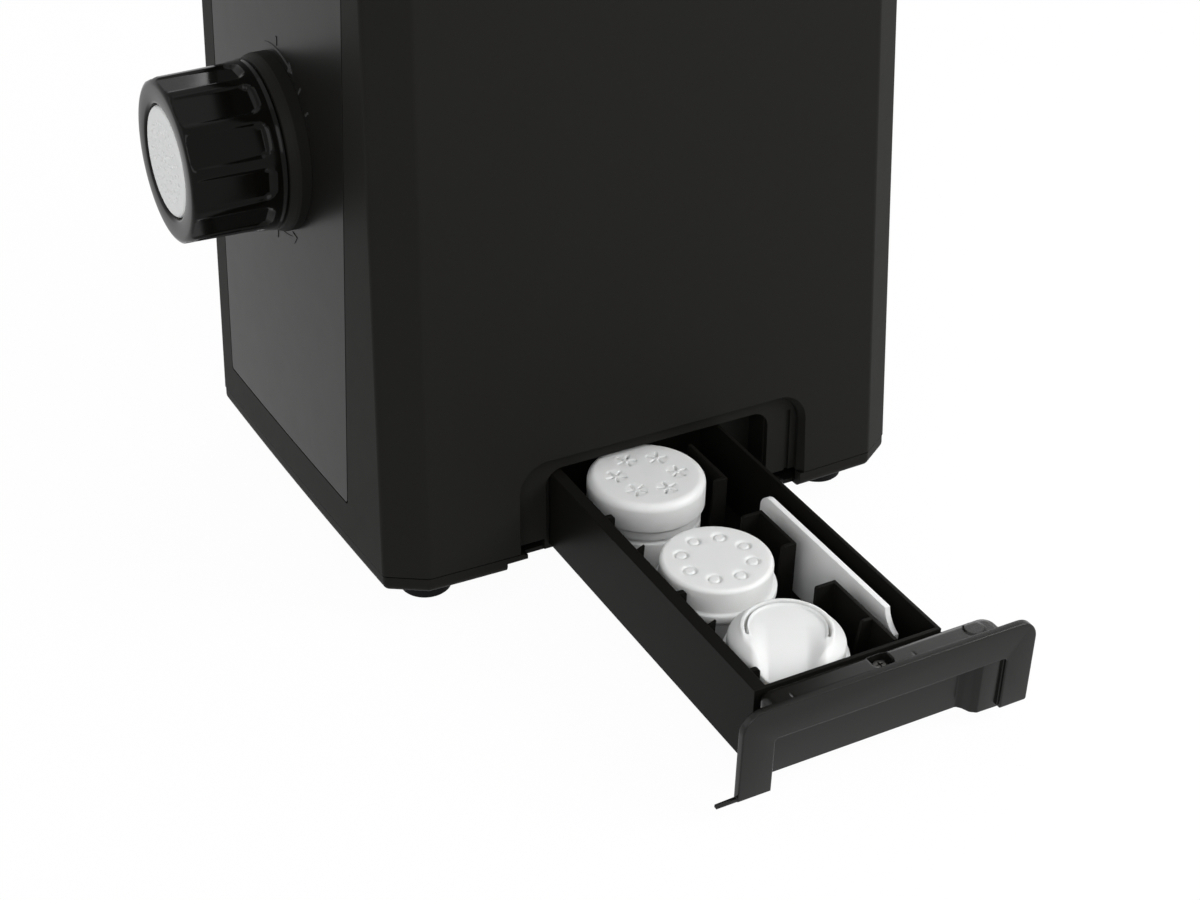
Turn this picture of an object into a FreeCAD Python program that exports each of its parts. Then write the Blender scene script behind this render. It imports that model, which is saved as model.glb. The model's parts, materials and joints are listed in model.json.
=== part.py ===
"""Electric pasta maker: drafted housing, die nut on the front, die drawer pulled out of the right side.

Millimetres, +Z up. While a piece is made, x = 0 and y = 0 are the middle of the housing and z = 0 is the
floor under the feet. The front with the die nut faces -Y and the drawer comes out towards +X. save() moves
every piece by the same step, so that the finished part stands with its origin under the middle of its box.
"""
import FreeCAD
import Part
import math
import os

# housing
body_width = 215.0          # across the sides, at the seam over the base
body_depth = 255.0          # front to back, at the seam
body_draft = 1.5            # degrees that every wall leans inwards
seam_height = 21.5          # floor to the seam between base and housing
housing_top = 318.0         # floor to the joint under the top deck
corner_front = 11.0         # corner bevel, along the front
corner_side = 16.3          # corner bevel, along the side
front_bow = 1.0             # how far the front and the back bulge
side_bow = 2.0              # how far each side bulges
corner_round = 3.0
shell_wall = 2.8
seam_gap = 0.6
fit_gap = 0.3               # between pieces that are set into each other
slide_gap = 0.4             # round pieces that slide
press_gap = 0.05            # radial play of shafts and pins

# base and feet
base_underside = 13.8
base_plate = 2.0
foot_radius = 11.0
foot_x = body_width / 2 - 27.0
foot_y = body_depth / 2 - 26.0
foot_screw_radius = 2.0
base_screw_radius = 1.7
base_screw_inset = 17.0

# front panel
panel_bottom = 38.5
panel_top = 300.0
panel_left = -(body_width / 2 - 26.5)
panel_right = body_width / 2 - 47.2
panel_left_lean = 0.029     # mm inwards for each mm upwards
panel_right_lean = 0.0565   # mm outwards for each mm upwards
panel_thick = 2.6
panel_groove = 0.7
panel_backing = 2.2
panel_window_margin = 7.0

# extruder, on one level axis
axis_height = 182.3
barrel_bore = 21.0
barrel_radius = 24.6
lug_radius = 27.6
lug_length = 4.0
lug_count = 3
lug_angle = 50.0
collar_radius = 37.5
collar_front = body_depth / 2 + 5.8     # distances in front of the middle of the housing
nut_back = collar_front + 0.4
nut_front = nut_back + 39.9
nut_base_radius = 35.9
nut_ridge_radius = 35.5
nut_nose_radius = 34.7
nut_bore = 28.0
flute_count = 12
flute_floor = 33.5          # axis to the flat floor of a flute
flute_width = 13.6
flute_start = 6.5           # nut's back to the flutes' round ends
flute_turn = 5.0            # degrees from straight up to the first flute
chamber_radius = 58.0
chamber_wall = 2.5
gearbox_front = body_depth / 2 - 55.5
chamber_front = -(body_depth / 2 - 47.5)
chamber_back = gearbox_front - 6.0
chamber_rim = 6.0

# dies
die_nose_radius = 23.3
die_flange_radius = 25.2
die_flange_thick = 4.0
die_body_radius = 20.7
die_height = 34.0
die_nose_height = 11.0
die_bore = 17.5
die_face_thick = 3.0
die_seat = 0.1              # between a die and the pieces that hold it
wide_die_radius = 25.6
wide_die_body = 24.2

# top
deck_height = 13.0
deck_plate = 3.0
deck_opening_margin = 3.0
lid_height = 12.0
lid_wall = 2.4
lid_overlap = 9.0
lid_window_dome = 7.0
hinge_pin_radius = 2.0
hinge_back = chamber_back + 22.0
button_radius = 6.5
button_proud = 1.4
button_travel = 1.0
button_outer = body_width / 2 - 41.5
button_inner = button_outer - 19.0
button_rows = (-button_outer, -button_inner, button_inner, button_outer)
display_width = body_width - 157.0
display_depth = 15.0

# gear train
gear_face = 9.0
stage_module = 1.5
stage_pinion_teeth = 12
stage_wheel_teeth = 48
output_module = 2.0
output_pinion_teeth = 14
output_wheel_teeth = 50
gear_backlash = 0.25
addendum_share = 0.85
output_shaft_radius = 7.0
stage_axle_radius = 4.0
motor_x = -30.0
motor_height = 93.0
motor_radius = 26.0
motor_length = 88.0
motor_shaft_radius = 3.0
motor_screw_radius = 1.5
gearbox_plate = 3.0
gearbox_depth = 40.0
gearbox_half_width = 60.0
gearbox_margin = 4.0

# drawer, measured while it is level
drawer_sag = 3.0            # degrees that the pulled-out drawer hangs down
drawer_pivot_x = body_width / 2 - 0.5   # where the level drawer is turned about
drawer_pivot_height = 31.5
drawer_travel = body_width - 42.0
drawer_front_x = body_width / 2 + drawer_travel - 0.7
drawer_left = -50.5
drawer_right = 34.5
drawer_bottom = 16.0
drawer_top = 52.3
drawer_wall = 1.6
drawer_floor = 1.8
wall_ledge = 5.5            # width of the ledge along the wall beside the dies
tray_front_x = drawer_front_x - 15.8
tray_back_x = tray_front_x - (body_width - 35.0)
flange_left = -65.0
flange_right = 69.2
flange_top = 56.0
flange_thick = 3.0
flange_round = 9.0
flange_edge = 0.9
grip_left = -50.4
grip_right = 56.0
grip_top = 41.0
shelf_right = 56.5
ledge_reach = 9.0
shelf_back_x = tray_front_x
pocket_wall_x = drawer_front_x - 8.8
die_lane_y = -18.5
wide_die_y = -13.5
divider_y = 15.4
divider_top = 50.5
tool_y = 25.0
tool_thick = 2.4

# recess for the drawer in the right side
recess_left = -66.9
recess_right = 73.2
recess_top = 61.5
recess_round = 14.0
recess_depth = 5.0
mouth_left = -53.4
mouth_right = 58.2
mouth_top = 55.0
mouth_round = 8.0
bay_wall = 2.0

# rear
vent_count = 9
vent_width = 3.0
vent_height = 34.0
vent_pitch = 7.0
gland_x = 3.25 - (gearbox_half_width + body_width / 2 - corner_front) / 2
gland_height = 46.0
gland_radius = 7.5
gland_length = 7.0
rocker_height = 84.0
rocker_width = 0.74 * (body_width / 2 - corner_front - gearbox_half_width)
rocker_tall = 20.0
rocker_pin_radius = 1.2

Z = FreeCAD.Vector(0, 0, 1)
Y = FreeCAD.Vector(0, 1, 0)
X = FreeCAD.Vector(1, 0, 0)
lean = math.tan(math.radians(body_draft))
die_face = nut_front - 0.3
die_shoulder = die_face - die_nose_height
barrel_end = die_shoulder - die_flange_thick - die_seat
deck_top = housing_top + deck_height
output_axis = (0.0, axis_height)
motor_axis = (motor_x, motor_height)
gear_plane = gearbox_front + gearbox_plate + 5.0
stage_plane = gear_plane + gear_face + 3.0
drawer_pivot = FreeCAD.Vector(drawer_pivot_x, 0, drawer_pivot_height)
tray_slack = tray_front_x - tray_back_x - 2 * drawer_wall - 2 * wide_die_radius - 4 * die_flange_radius
wide_die_x = tray_back_x + drawer_wall + wide_die_radius + 0.27 * tray_slack
ring_die_x = wide_die_x + wide_die_radius + die_flange_radius + 0.62 * tray_slack
sheet_die_x = ring_die_x + 2 * die_flange_radius + 0.095 * tray_slack
die_rows = (wide_die_x, ring_die_x, sheet_die_x)


def vec(x, y, z):
    return FreeCAD.Vector(x, y, z)


def box(x0, x1, y0, y1, z0, z1):
    return Part.makeBox(x1 - x0, y1 - y0, z1 - z0, vec(x0, y0, z0))


def rod_z(radius, x, y, z0, z1):
    return Part.makeCylinder(radius, z1 - z0, vec(x, y, z0), Z)


def rod_y(radius, centre, y0, y1):
    return Part.makeCylinder(radius, y1 - y0, vec(centre[0], y0, centre[1]), Y)


def rod_x(radius, x0, x1, y, z):
    return Part.makeCylinder(radius, x1 - x0, vec(x0, y, z), X)


def tube_y(outer, inner, centre, y0, y1):
    return rod_y(outer, centre, y0, y1).cut(rod_y(inner, centre, y0 - 1, y1 + 1))


def join(pieces):
    whole = pieces[0]
    for piece in pieces[1:]:
        whole = whole.fuse(piece)
    return whole.removeSplitter()


def cut(whole, pieces):
    for piece in pieces:
        whole = whole.cut(piece)
    return whole


def turned(points, axis_point, axis):
    """A closed profile of (radius, along) points, spun round the axis."""
    side = Z if axis == Y else X
    ring = [axis_point + side * radius + axis * along for radius, along in points]
    face = Part.Face(Part.makePolygon(ring + ring[:1]))
    return face.revolve(axis_point, axis, 360)


def rounded_wire(corners, place):
    """A closed outline of (u, v, round) corners; place() turns (u, v) into a point."""
    edges = []
    count = len(corners)
    previous = None
    first = None
    for i in range(count):
        u, v, radius = corners[i]
        here = FreeCAD.Vector(u, v, 0)
        before = FreeCAD.Vector(corners[i - 1][0], corners[i - 1][1], 0) - here
        after = FreeCAD.Vector(corners[(i + 1) % count][0], corners[(i + 1) % count][1], 0) - here
        before.normalize()
        after.normalize()
        half = before.getAngle(after) / 2
        back = radius / math.tan(half)
        start = here + before * back
        end = here + after * back
        bisector = (before + after).normalize()
        middle = here + bisector * (radius / math.sin(half) - radius)
        if previous is not None and previous.distanceToPoint(start) > 1e-6:
            edges.append(Part.LineSegment(place(previous.x, previous.y), place(start.x, start.y)).toShape())
        if radius > 0:
            arc = Part.Arc(place(start.x, start.y), place(middle.x, middle.y), place(end.x, end.y))
            edges.append(arc.toShape())
        if first is None:
            first = start
        previous = end
    edges.append(Part.LineSegment(place(previous.x, previous.y), place(first.x, first.y)).toShape())
    return Part.Wire(edges)


def plate_x(corners, x0, x1):
    """An outline of (y, z, round) corners, as thick as x0 to x1."""
    wire = rounded_wire(corners, lambda u, v: vec(x0, u, v))
    return Part.Face(wire).extrude(vec(x1 - x0, 0, 0))


def plate_y(corners, y0, y1):
    """An outline of (x, z, round) corners, as thick as y0 to y1."""
    wire = rounded_wire(corners, lambda u, v: vec(u, y0, v))
    return Part.Face(wire).extrude(vec(0, y1 - y0, 0))


def plate_z(corners, z0, z1):
    """An outline of (x, y, round) corners, as thick as z0 to z1."""
    wire = rounded_wire(corners, lambda u, v: vec(u, v, z0))
    return Part.Face(wire).extrude(vec(0, 0, z1 - z0))


def rectangle(u0, u1, v0, v1, radius):
    return [(u0, v0, radius), (u1, v0, radius), (u1, v1, radius), (u0, v1, radius)]


def body_outline(height, inset):
    """The housing's outline in plan at a height: four bowed sides and four bevelled corners."""
    half_x = body_width / 2 - lean * (height - seam_height) - inset
    half_y = body_depth / 2 - lean * (height - seam_height) - inset
    slack = 1 / corner_front + 1 / corner_side
    keep = 1 - inset * (slack - math.hypot(1 / corner_front, 1 / corner_side))
    bevel_x = corner_front * keep
    bevel_y = corner_side * keep
    edges = []
    for turn in (0, 1):
        s = 1 - 2 * turn
        front_a = vec(s * (-half_x + bevel_x), s * -half_y, height)
        front_b = vec(s * (half_x - bevel_x), s * -half_y, height)
        side_a = vec(s * half_x, s * (-half_y + bevel_y), height)
        side_b = vec(s * half_x, s * (half_y - bevel_y), height)
        next_a = vec(s * (half_x - bevel_x), s * half_y, height)
        edges.append(Part.Arc(front_a, vec(0, s * (-half_y - front_bow), height), front_b).toShape())
        edges.append(Part.LineSegment(front_b, side_a).toShape())
        edges.append(Part.Arc(side_a, vec(s * (half_x + side_bow), 0, height), side_b).toShape())
        edges.append(Part.LineSegment(side_b, next_a).toShape())
    return Part.Wire(edges)


def body_block(z0, z1, inset):
    return Part.makeLoft([body_outline(z0, inset), body_outline(z1, inset)], True, True)


def upright_edges(shape, z0, z1):
    """The long corner edges that run from the bottom to the top."""
    found = []
    for edge in shape.Edges:
        ends = sorted(vertex.Point.z for vertex in edge.Vertexes)
        if len(ends) == 2 and abs(ends[0] - z0) < 0.01 and abs(ends[1] - z1) < 0.01:
            found.append(edge)
    return found


def rounded_block(z0, z1, inset):
    block = body_block(z0, z1, inset)
    return block.makeFillet(corner_round, upright_edges(block, z0, z1))


def rim_edges(shape, height):
    return [edge for edge in shape.Edges if all(abs(v.Point.z - height) < 0.01 for v in edge.Vertexes)]


def panel_corners(grow, height_low, height_high):
    """The front panel's outline, wider by grow all round, between two heights."""
    left_low = panel_left + panel_left_lean * (height_low - panel_bottom) - grow
    left_high = panel_left + panel_left_lean * (height_high - panel_bottom) - grow
    right_low = panel_right + panel_right_lean * (height_low - panel_bottom) + grow
    right_high = panel_right + panel_right_lean * (height_high - panel_bottom) + grow
    return [(left_low, height_low, 2.0), (right_low, height_low, 2.0),
            (right_high, height_high, 2.0), (left_high, height_high, 2.0)]


def panel_prism(grow):
    low = panel_bottom - grow
    high = panel_top + grow
    return plate_y(panel_corners(grow, low, high), -body_depth, 0)


def skin(inset_out, inset_in):
    """A layer of the housing's wall, between two depths below its surface."""
    outer = body_block(seam_height, housing_top, inset_out)
    inner = body_block(seam_height - 1, housing_top + 1, inset_in)
    return outer.cut(inner)


def recess_corners(grow):
    return [(recess_left - grow, base_underside - 5, 0.5), (recess_right + grow, base_underside - 5, 0.5),
            (recess_right + grow, recess_top + grow, recess_round), (recess_left - grow, recess_top + grow, recess_round)]


def mouth_corners():
    return [(mouth_left, base_underside - 5, 0.5), (mouth_right, base_underside - 5, 0.5),
            (mouth_right, mouth_top, mouth_round), (mouth_left, mouth_top, mouth_round)]


recess_floor_x = body_width / 2 - recess_depth
flare_start_x = body_width / 2 - 3.0


def recess_flare():
    """The recess's outer edge opens out a little towards the surface."""
    inner = rounded_wire(recess_corners(0), lambda u, v: vec(flare_start_x, u, v))
    outer = rounded_wire(recess_corners(3.0), lambda u, v: vec(flare_start_x + 6.0, u, v))
    return Part.makeLoft([inner, outer], True, True)


def screw_spots(inset):
    x = body_width / 2 - inset
    y = body_depth / 2 - inset
    return [(sx * x, sy * y) for sx in (-1, 1) for sy in (-1, 1)]


def vent_slots(y0, y1):
    slots = []
    for i in range(vent_count):
        x = (i - (vent_count - 1) / 2) * vent_pitch + 30.0
        corners = rectangle(x - vent_width / 2, x + vent_width / 2, 60, 60 + vent_height, 1.4)
        slots.append(plate_y(corners, y0, y1))
    return slots


def outer_housing():
    shell = rounded_block(seam_height, housing_top, 0)
    shell = shell.cut(body_block(seam_height - 1, housing_top + 1, shell_wall))
    depth = panel_thick + fit_gap
    backing = skin(1.0, depth + panel_backing).common(panel_prism(4.0))
    shell = shell.fuse(backing)
    ring = plate_x(recess_corners(shell_wall), recess_floor_x - bay_wall, body_width).common(body_block(seam_height, housing_top, 1.0))
    shell = shell.fuse(ring)
    for x, y in screw_spots(base_screw_inset):
        boss = rod_z(4.5, x, y, seam_height + 3.0, 62.0)
        rib = box(min(x, x * 1.25), max(x, x * 1.25), y - 1, y + 1, seam_height + 3.0, 60.0)
        boss = boss.fuse(rib).common(body_block(seam_height, housing_top, 1.0))
        shell = shell.fuse(boss).cut(rod_z(base_screw_radius - 0.3, x, y, seam_height, 50.0))
    rebate = panel_prism(panel_groove).cut(body_block(seam_height - 1, housing_top + 1, depth))
    shell = cut(shell, [rebate, panel_prism(-panel_window_margin)])
    shell = cut(shell, [plate_x(recess_corners(0), recess_floor_x, body_width), recess_flare()])
    shell = shell.cut(plate_x(mouth_corners(), body_width / 4, body_width))
    groove = box(recess_floor_x - 1.2, recess_floor_x + 1, recess_right - 5.2, recess_right - 3.0, 0, recess_top - 9)
    shell = shell.cut(groove)
    shell = cut(shell, vent_slots(body_depth / 2 - 12, body_depth / 2 + 5))
    shell = shell.cut(rod_y(gland_radius, (gland_x, gland_height), body_depth / 2 - 12, body_depth / 2 + 5))
    opening = box(gland_x - rocker_width / 2, gland_x + rocker_width / 2, body_depth / 2 - 12, body_depth / 2 + 5,
                  rocker_height - rocker_tall / 2, rocker_height + rocker_tall / 2)
    return shell.cut(opening).removeSplitter()


def base_tray():
    top = seam_height - seam_gap
    block = rounded_block(base_underside, top, 0.3)
    block = block.makeFillet(3.6, rim_edges(block, base_underside))
    inside = body_block(base_underside + base_plate, seam_height + 1, shell_wall + 1.8)
    lip = body_block(base_underside + base_plate, seam_height + 3, shell_wall + fit_gap)
    lip = lip.cut(body_block(base_underside, seam_height + 4, shell_wall + 1.8))
    lip = lip.cut(plate_x(recess_corners(shell_wall + fit_gap), recess_floor_x - bay_wall - fit_gap, body_width))
    tray = block.cut(inside).fuse(lip)
    for sx in (-1, 1):
        for sy in (-1, 1):
            tray = tray.fuse(rod_z(5.5, sx * foot_x, sy * foot_y, base_underside, 27.0))
            tray = tray.cut(rod_z(foot_screw_radius - 0.3, sx * foot_x, sy * foot_y, 0, 28.0))
    for x, y in screw_spots(base_screw_inset):
        tray = tray.fuse(rod_z(6.0, x, y, base_underside, seam_height + 3.0 - fit_gap))
        tray = tray.cut(rod_z(base_screw_radius + 0.2, x, y, 0, 30.0))
        tray = tray.cut(rod_z(3.6, x, y, 0, base_underside + 3.0))
    closed_back = tray_back_x - drawer_travel
    for x0, x1 in ((closed_back + 3, closed_back + 11), (closed_back + 59, closed_back + 67)):
        for y0, y1 in ((drawer_left + 6, drawer_left + 14), (drawer_right - 14, drawer_right - 6)):
            tray = tray.fuse(box(x0, x1, y0, y1, base_underside + 1, 34.0))
    tray = tray.cut(bay_block(bay_wall + press_gap, 0))
    tray = tray.cut(plate_x(recess_corners(-4.5), recess_floor_x - bay_wall - 2.0, body_width))
    tray = tray.cut(plate_x(recess_corners(0), recess_floor_x - fit_gap, body_width))
    tray = tray.cut(box(recess_floor_x - fit_gap, body_width, flange_left - ledge_reach - 1.2, 0, 0, drawer_bottom + 2.4))
    for i in range(10):
        x = -60 + i * 9
        tray = tray.cut(plate_z(rectangle(x - 1.6, x + 1.6, 62, 100, 1.5), 0, base_underside + base_plate + 1))
    return tray.removeSplitter()


def feet():
    solids = []
    counter = 4.6
    for sx in (-1, 1):
        for sy in (-1, 1):
            profile = [(foot_screw_radius + 0.4, 6.0), (counter, 6.0), (counter, 0.0), (foot_radius - 0.8, 0.0),
                       (foot_radius, 0.8), (foot_radius, 4.0), (foot_radius + 0.8, base_underside - fit_gap / 3),
                       (foot_screw_radius + 0.4, base_underside - fit_gap / 3)]
            solids.append(turned(profile, vec(sx * foot_x, sy * foot_y, 0), Z))
    return Part.makeCompound(solids)


def pan_screw(x, y, z_head, length, radius, up):
    """A screw whose head's underside is at z_head; up is 1 where the shank points up."""
    head = Part.makeCylinder(radius * 1.9, radius * 1.1, vec(x, y, z_head), Z * -up)
    shank = Part.makeCylinder(radius, length, vec(x, y, z_head), Z * up)
    slot = Part.makeBox(radius * 2.2, radius * 0.5, radius * 0.7)
    slot.translate(vec(x - radius * 1.1, y - radius * 0.25, z_head - up * radius * 1.1 - (0 if up > 0 else radius * 0.7)))
    cross = slot.copy()
    cross.rotate(vec(x, y, 0), Z, 90)
    return cut(head.fuse(shank), [slot, cross])


def foot_screws():
    return Part.makeCompound([pan_screw(sx * foot_x, sy * foot_y, 6.0 - 0.05, 18.0, foot_screw_radius - 0.3, 1)
                              for sx in (-1, 1) for sy in (-1, 1)])


def base_screws():
    return Part.makeCompound([pan_screw(x, y, base_underside + 3.0, 26.0, base_screw_radius - 0.3, 1)
                              for x, y in screw_spots(base_screw_inset)])


def front_panel():
    plate = skin(0.0, panel_thick).common(panel_prism(0))
    return plate.cut(rod_y(barrel_radius + slide_gap, output_axis, -body_depth, 0))


def outlet_collar():
    """The fixed ring behind the nut, narrowing towards it."""
    inner = barrel_radius + slide_gap
    profile = [(inner, -body_depth / 2 + 12), (collar_radius, -body_depth / 2 + 12), (collar_radius, -collar_front + 4.6),
               (collar_radius - 0.4, -collar_front + 3.2), (collar_radius - 1.5, -collar_front + 0.5),
               (collar_radius - 2.3, -collar_front), (inner, -collar_front)]
    return turned(profile, vec(0, 0, axis_height), Y).cut(body_block(seam_height, housing_top, 0))


def arc_band(radius, width, start, end, y0, y1):
    """A flat band round the extruder's axis, from one clock angle to another, in degrees from +X."""
    band = tube_y(radius + width / 2, radius - width / 2, output_axis, y0, y1)
    angles = [math.radians(start + (end - start) * k / 4) for k in range(5)]
    rim = [vec(1.2 * radius * math.cos(a), y0, axis_height + 1.2 * radius * math.sin(a)) for a in angles]
    points = [vec(0, y0, axis_height)] + rim
    return band.common(Part.Face(Part.makePolygon(points + points[:1])).extrude(vec(0, y1 - y0, 0)))


def arrow_head(radius, angle, direction, y0, y1):
    """A small triangle at the end of an arc, pointing along it."""
    size = 2.6
    corners = [(radius - size, 0), (radius + size, 0), (radius, direction * size * 1.7)]
    points = [vec(u, y0, axis_height + v) for u, v in corners]
    head = Part.Face(Part.makePolygon(points + points[:1])).extrude(vec(0, y1 - y0, 0))
    head.rotate(vec(0, 0, axis_height), Y, -angle)
    return head


def lock_marks():
    """Plain turning marks round the outlet: two arcs with arrow heads and a few ticks."""
    y0 = -body_depth / 2 - front_bow
    y1 = -body_depth / 2 + 12
    marks = [arc_band(collar_radius + 3.4, 1.1, 66, 104, y0, y1), arrow_head(collar_radius + 3.4, 66, -1, y0, y1)]
    marks += [arc_band(collar_radius + 3.4, 1.1, 252, 288, y0, y1), arrow_head(collar_radius + 3.4, 288, 1, y0, y1)]
    for angle in (34, 48, 85, 262):
        tick = box(collar_radius + 1.6 + (3.4 if angle > 60 else 0), collar_radius + 5.6 + (3.4 if angle > 60 else 0),
                   y0, y1, axis_height - 0.5, axis_height + 0.5)
        tick.rotate(vec(0, 0, axis_height), Y, -angle)
        marks.append(tick)
    layer = body_block(seam_height, housing_top, -0.25).cut(body_block(seam_height - 1, housing_top + 1, 0))
    return Part.makeCompound([mark.common(layer) for mark in marks])


def level_to_sag(shape):
    """Turns a shape made level to the way the drawer hangs."""
    shape.rotate(drawer_pivot, Y, drawer_sag)
    return shape


def bay_block(wall, cavity):
    """The drawer bay's outside, or with cavity 1 its inside, as it lies."""
    closed_back = tray_back_x - drawer_travel
    back = closed_back - 1.5 - (0 if cavity else wall)
    front = recess_floor_x - bay_wall - fit_gap + (20 if cavity else 0)
    low = drawer_bottom - slide_gap - wall
    high = drawer_top + 1.0 + wall
    mouth_back = shelf_back_x - drawer_travel - 3.0 - wall
    narrow = box(back, front, drawer_left - slide_gap - wall, drawer_right + slide_gap + wall, low, high)
    wide = box(mouth_back, front, drawer_left - slide_gap - wall, shelf_right + slide_gap + 0.6 + wall, low, high)
    return level_to_sag(narrow.fuse(wide))


def drawer_bay():
    outer = bay_block(bay_wall, 0)
    outer = outer.cut(box(recess_floor_x - bay_wall - fit_gap, 200, -200, 200, -50, 200))
    return outer.cut(bay_block(0.0, 1)).removeSplitter()


def deck_opening(grow):
    half = chamber_radius + chamber_wall + deck_opening_margin + grow
    return rectangle(-half, half, chamber_front - chamber_wall - deck_opening_margin - grow,
                     chamber_back + chamber_wall + deck_opening_margin + grow, 8.0)


def deck_front_y():
    return -(body_depth / 2 - lean * (deck_top - seam_height))


def control_y():
    """The middle of the strip of deck between its front edge and the lid."""
    return (deck_front_y() + chamber_front - chamber_wall - deck_opening_margin - lid_overlap) / 2 + 1.0


def top_deck():
    block = rounded_block(housing_top + fit_gap, deck_top, 0)
    block = block.makeFillet(2.4, rim_edges(block, deck_top))
    hollow = body_block(housing_top - 1, deck_top - deck_plate, shell_wall)
    rim = skin_ring(housing_top - 6.0, deck_top - deck_plate, shell_wall + fit_gap, shell_wall + 2.0)
    deck = block.cut(hollow).fuse(rim)
    deck = deck.cut(plate_z(deck_opening(0), housing_top - 10, deck_top + 1))
    for x in button_rows:
        deck = deck.cut(rod_z(button_radius + slide_gap, x, control_y(), housing_top, deck_top + 1))
    half = display_width / 2
    y = control_y()
    deck = deck.cut(plate_z(rectangle(-half, half, y - display_depth / 2, y + display_depth / 2, 2.0), deck_top - 1.5, deck_top + 1))
    deck = deck.cut(plate_z(rectangle(-half + 3, half - 3, y - display_depth / 2 + 2.5, y + display_depth / 2 - 2.5, 1.0),
                            housing_top, deck_top + 1))
    for x0, x1 in hinge_ears():
        ear = box(x0, x1, hinge_back - 5.0, hinge_back + 5.0, deck_top - 2.0, deck_top + 9.0)
        ear = ear.makeFillet(4.5, [e for e in ear.Edges if all(abs(v.Point.z - deck_top - 9.0) < 0.01 for v in e.Vertexes)
                                   and abs(e.Vertexes[0].Point.x - e.Vertexes[1].Point.x) > 1])
        deck = deck.fuse(ear)
    deck = deck.cut(rod_x(hinge_pin_radius + press_gap, -60, 60, hinge_back, deck_top + 4.0))
    return deck.removeSplitter()


def skin_ring(z0, z1, inset_out, inset_in):
    return body_block(z0, z1, inset_out).cut(body_block(z0 - 1, z1 + 1, inset_in))


def hinge_ears():
    return [(-52.0, -42.0), (42.0, 52.0)]


def display_window():
    half = display_width / 2 - fit_gap / 2
    y = control_y()
    depth = display_depth / 2 - fit_gap / 2
    return plate_z(rectangle(-half, half, y - depth, y + depth, 1.8), deck_top - 1.5, deck_top + 0.1)


def display_module():
    y = control_y()
    return box(-display_width / 2 + 4, display_width / 2 - 4, y - display_depth / 2 + 3, y + display_depth / 2 - 3,
               board_top(), deck_top - 1.6)


def board_top():
    return housing_top + 2.0


def control_board():
    y = control_y()
    half = button_outer + 10.0
    board = box(-half, half, y - 8, y + 9, board_top() - 1.6, board_top())
    switches = [box(x - 3, x + 3, y - 3, y + 3, board_top(), board_top() + 3.4) for x in button_rows]
    posts = [rod_z(2.5, x, y + 6, board_top(), deck_top - deck_plate) for x in (10 - button_outer, 11 - button_inner, button_inner - 11, button_outer - 10)]
    return join([board] + switches + posts)


def button(x):
    y = control_y()
    top = deck_top + button_proud
    cap = rod_z(button_radius, x, y, deck_top - 2.2, top)
    cap = cap.makeFillet(0.8, rim_edges(cap, top))
    dish = Part.makeSphere(26.0, vec(x, y, top + 25.6))
    under = deck_top - deck_plate - fit_gap
    flange = rod_z(button_radius + 1.4, x, y, under - 1.6, under)
    neck = rod_z(button_radius - 1.2, x, y, under - 1.0, deck_top - 1.0)
    stem = rod_z(1.8, x, y, board_top() + 3.4 + button_travel + 0.1, deck_top - 1.0)
    return join([cap.cut(dish), flange, neck, stem])


def chamber_section(radius):
    """The trough's end view: half round below, straight up to the rim."""
    top = deck_top + 0.2
    left = vec(-radius, 0, axis_height)
    right = vec(radius, 0, axis_height)
    edges = [Part.LineSegment(vec(-radius, 0, top), left).toShape(),
             Part.Arc(left, vec(0, 0, axis_height - radius), right).toShape(),
             Part.LineSegment(right, vec(radius, 0, top)).toShape(),
             Part.LineSegment(vec(radius, 0, top), vec(-radius, 0, top)).toShape()]
    return Part.Face(Part.Wire(edges))


def trough(radius, y0, y1):
    face = chamber_section(radius)
    face.translate(vec(0, y0, 0))
    return face.extrude(vec(0, y1 - y0, 0))


def mixing_chamber():
    outer = trough(chamber_radius + chamber_wall, chamber_front - chamber_wall, chamber_back + chamber_wall)
    half = chamber_radius + chamber_wall + chamber_rim
    rim = plate_z(rectangle(-half, half, chamber_front - chamber_wall - chamber_rim, chamber_back + chamber_wall + chamber_rim, 9.0),
                  deck_top + 0.2, deck_top + 2.2)
    bowl = outer.fuse(rim)
    inner = trough(chamber_radius, chamber_front, chamber_back)
    mouth = box(-chamber_radius, chamber_radius, chamber_front, chamber_back, deck_top - 1, deck_top + 5)
    bowl = cut(bowl, [inner, mouth])
    bowl = bowl.cut(rod_y(barrel_bore, output_axis, chamber_front - 10, chamber_front + 1))
    return bowl.cut(rod_y(output_shaft_radius + 3.0, output_axis, chamber_back - 1, chamber_back + 10)).removeSplitter()


def chamber_seal():
    profile = [(output_shaft_radius + press_gap, -0.4), (output_shaft_radius + 5.5, -0.4), (output_shaft_radius + 5.5, 0.0),
               (output_shaft_radius + 2.9, 0.0), (output_shaft_radius + 2.9, chamber_wall + 0.1),
               (output_shaft_radius + 5.5, chamber_wall + 0.1), (output_shaft_radius + 5.5, chamber_wall + 0.9),
               (output_shaft_radius + press_gap, chamber_wall + 0.9)]
    return turned(profile, vec(0, chamber_back, axis_height), Y)


def lug_ring(inner, outer, y0, y1, turn):
    lugs = []
    for i in range(lug_count):
        lug = Part.makeCylinder(outer, y1 - y0, vec(0, y0, axis_height), Y, lug_angle)
        lug = lug.cut(rod_y(inner, output_axis, y0 - 1, y1 + 1))
        lug.rotate(vec(0, 0, axis_height), Y, turn + i * 360.0 / lug_count)
        lugs.append(lug)
    return lugs


def extruder_barrel():
    back = chamber_front - chamber_wall
    tube = rod_y(barrel_radius, output_axis, -barrel_end, back)
    flange = rod_y(barrel_radius + 6.0, output_axis, back - 3.0, back)
    lugs = lug_ring(barrel_radius - 1, lug_radius, -barrel_end + 5.0, -barrel_end + 5.0 + lug_length, 0)
    tube = join([tube, flange] + lugs)
    return tube.cut(rod_y(barrel_bore, output_axis, -barrel_end - 1, back + 1))


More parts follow.
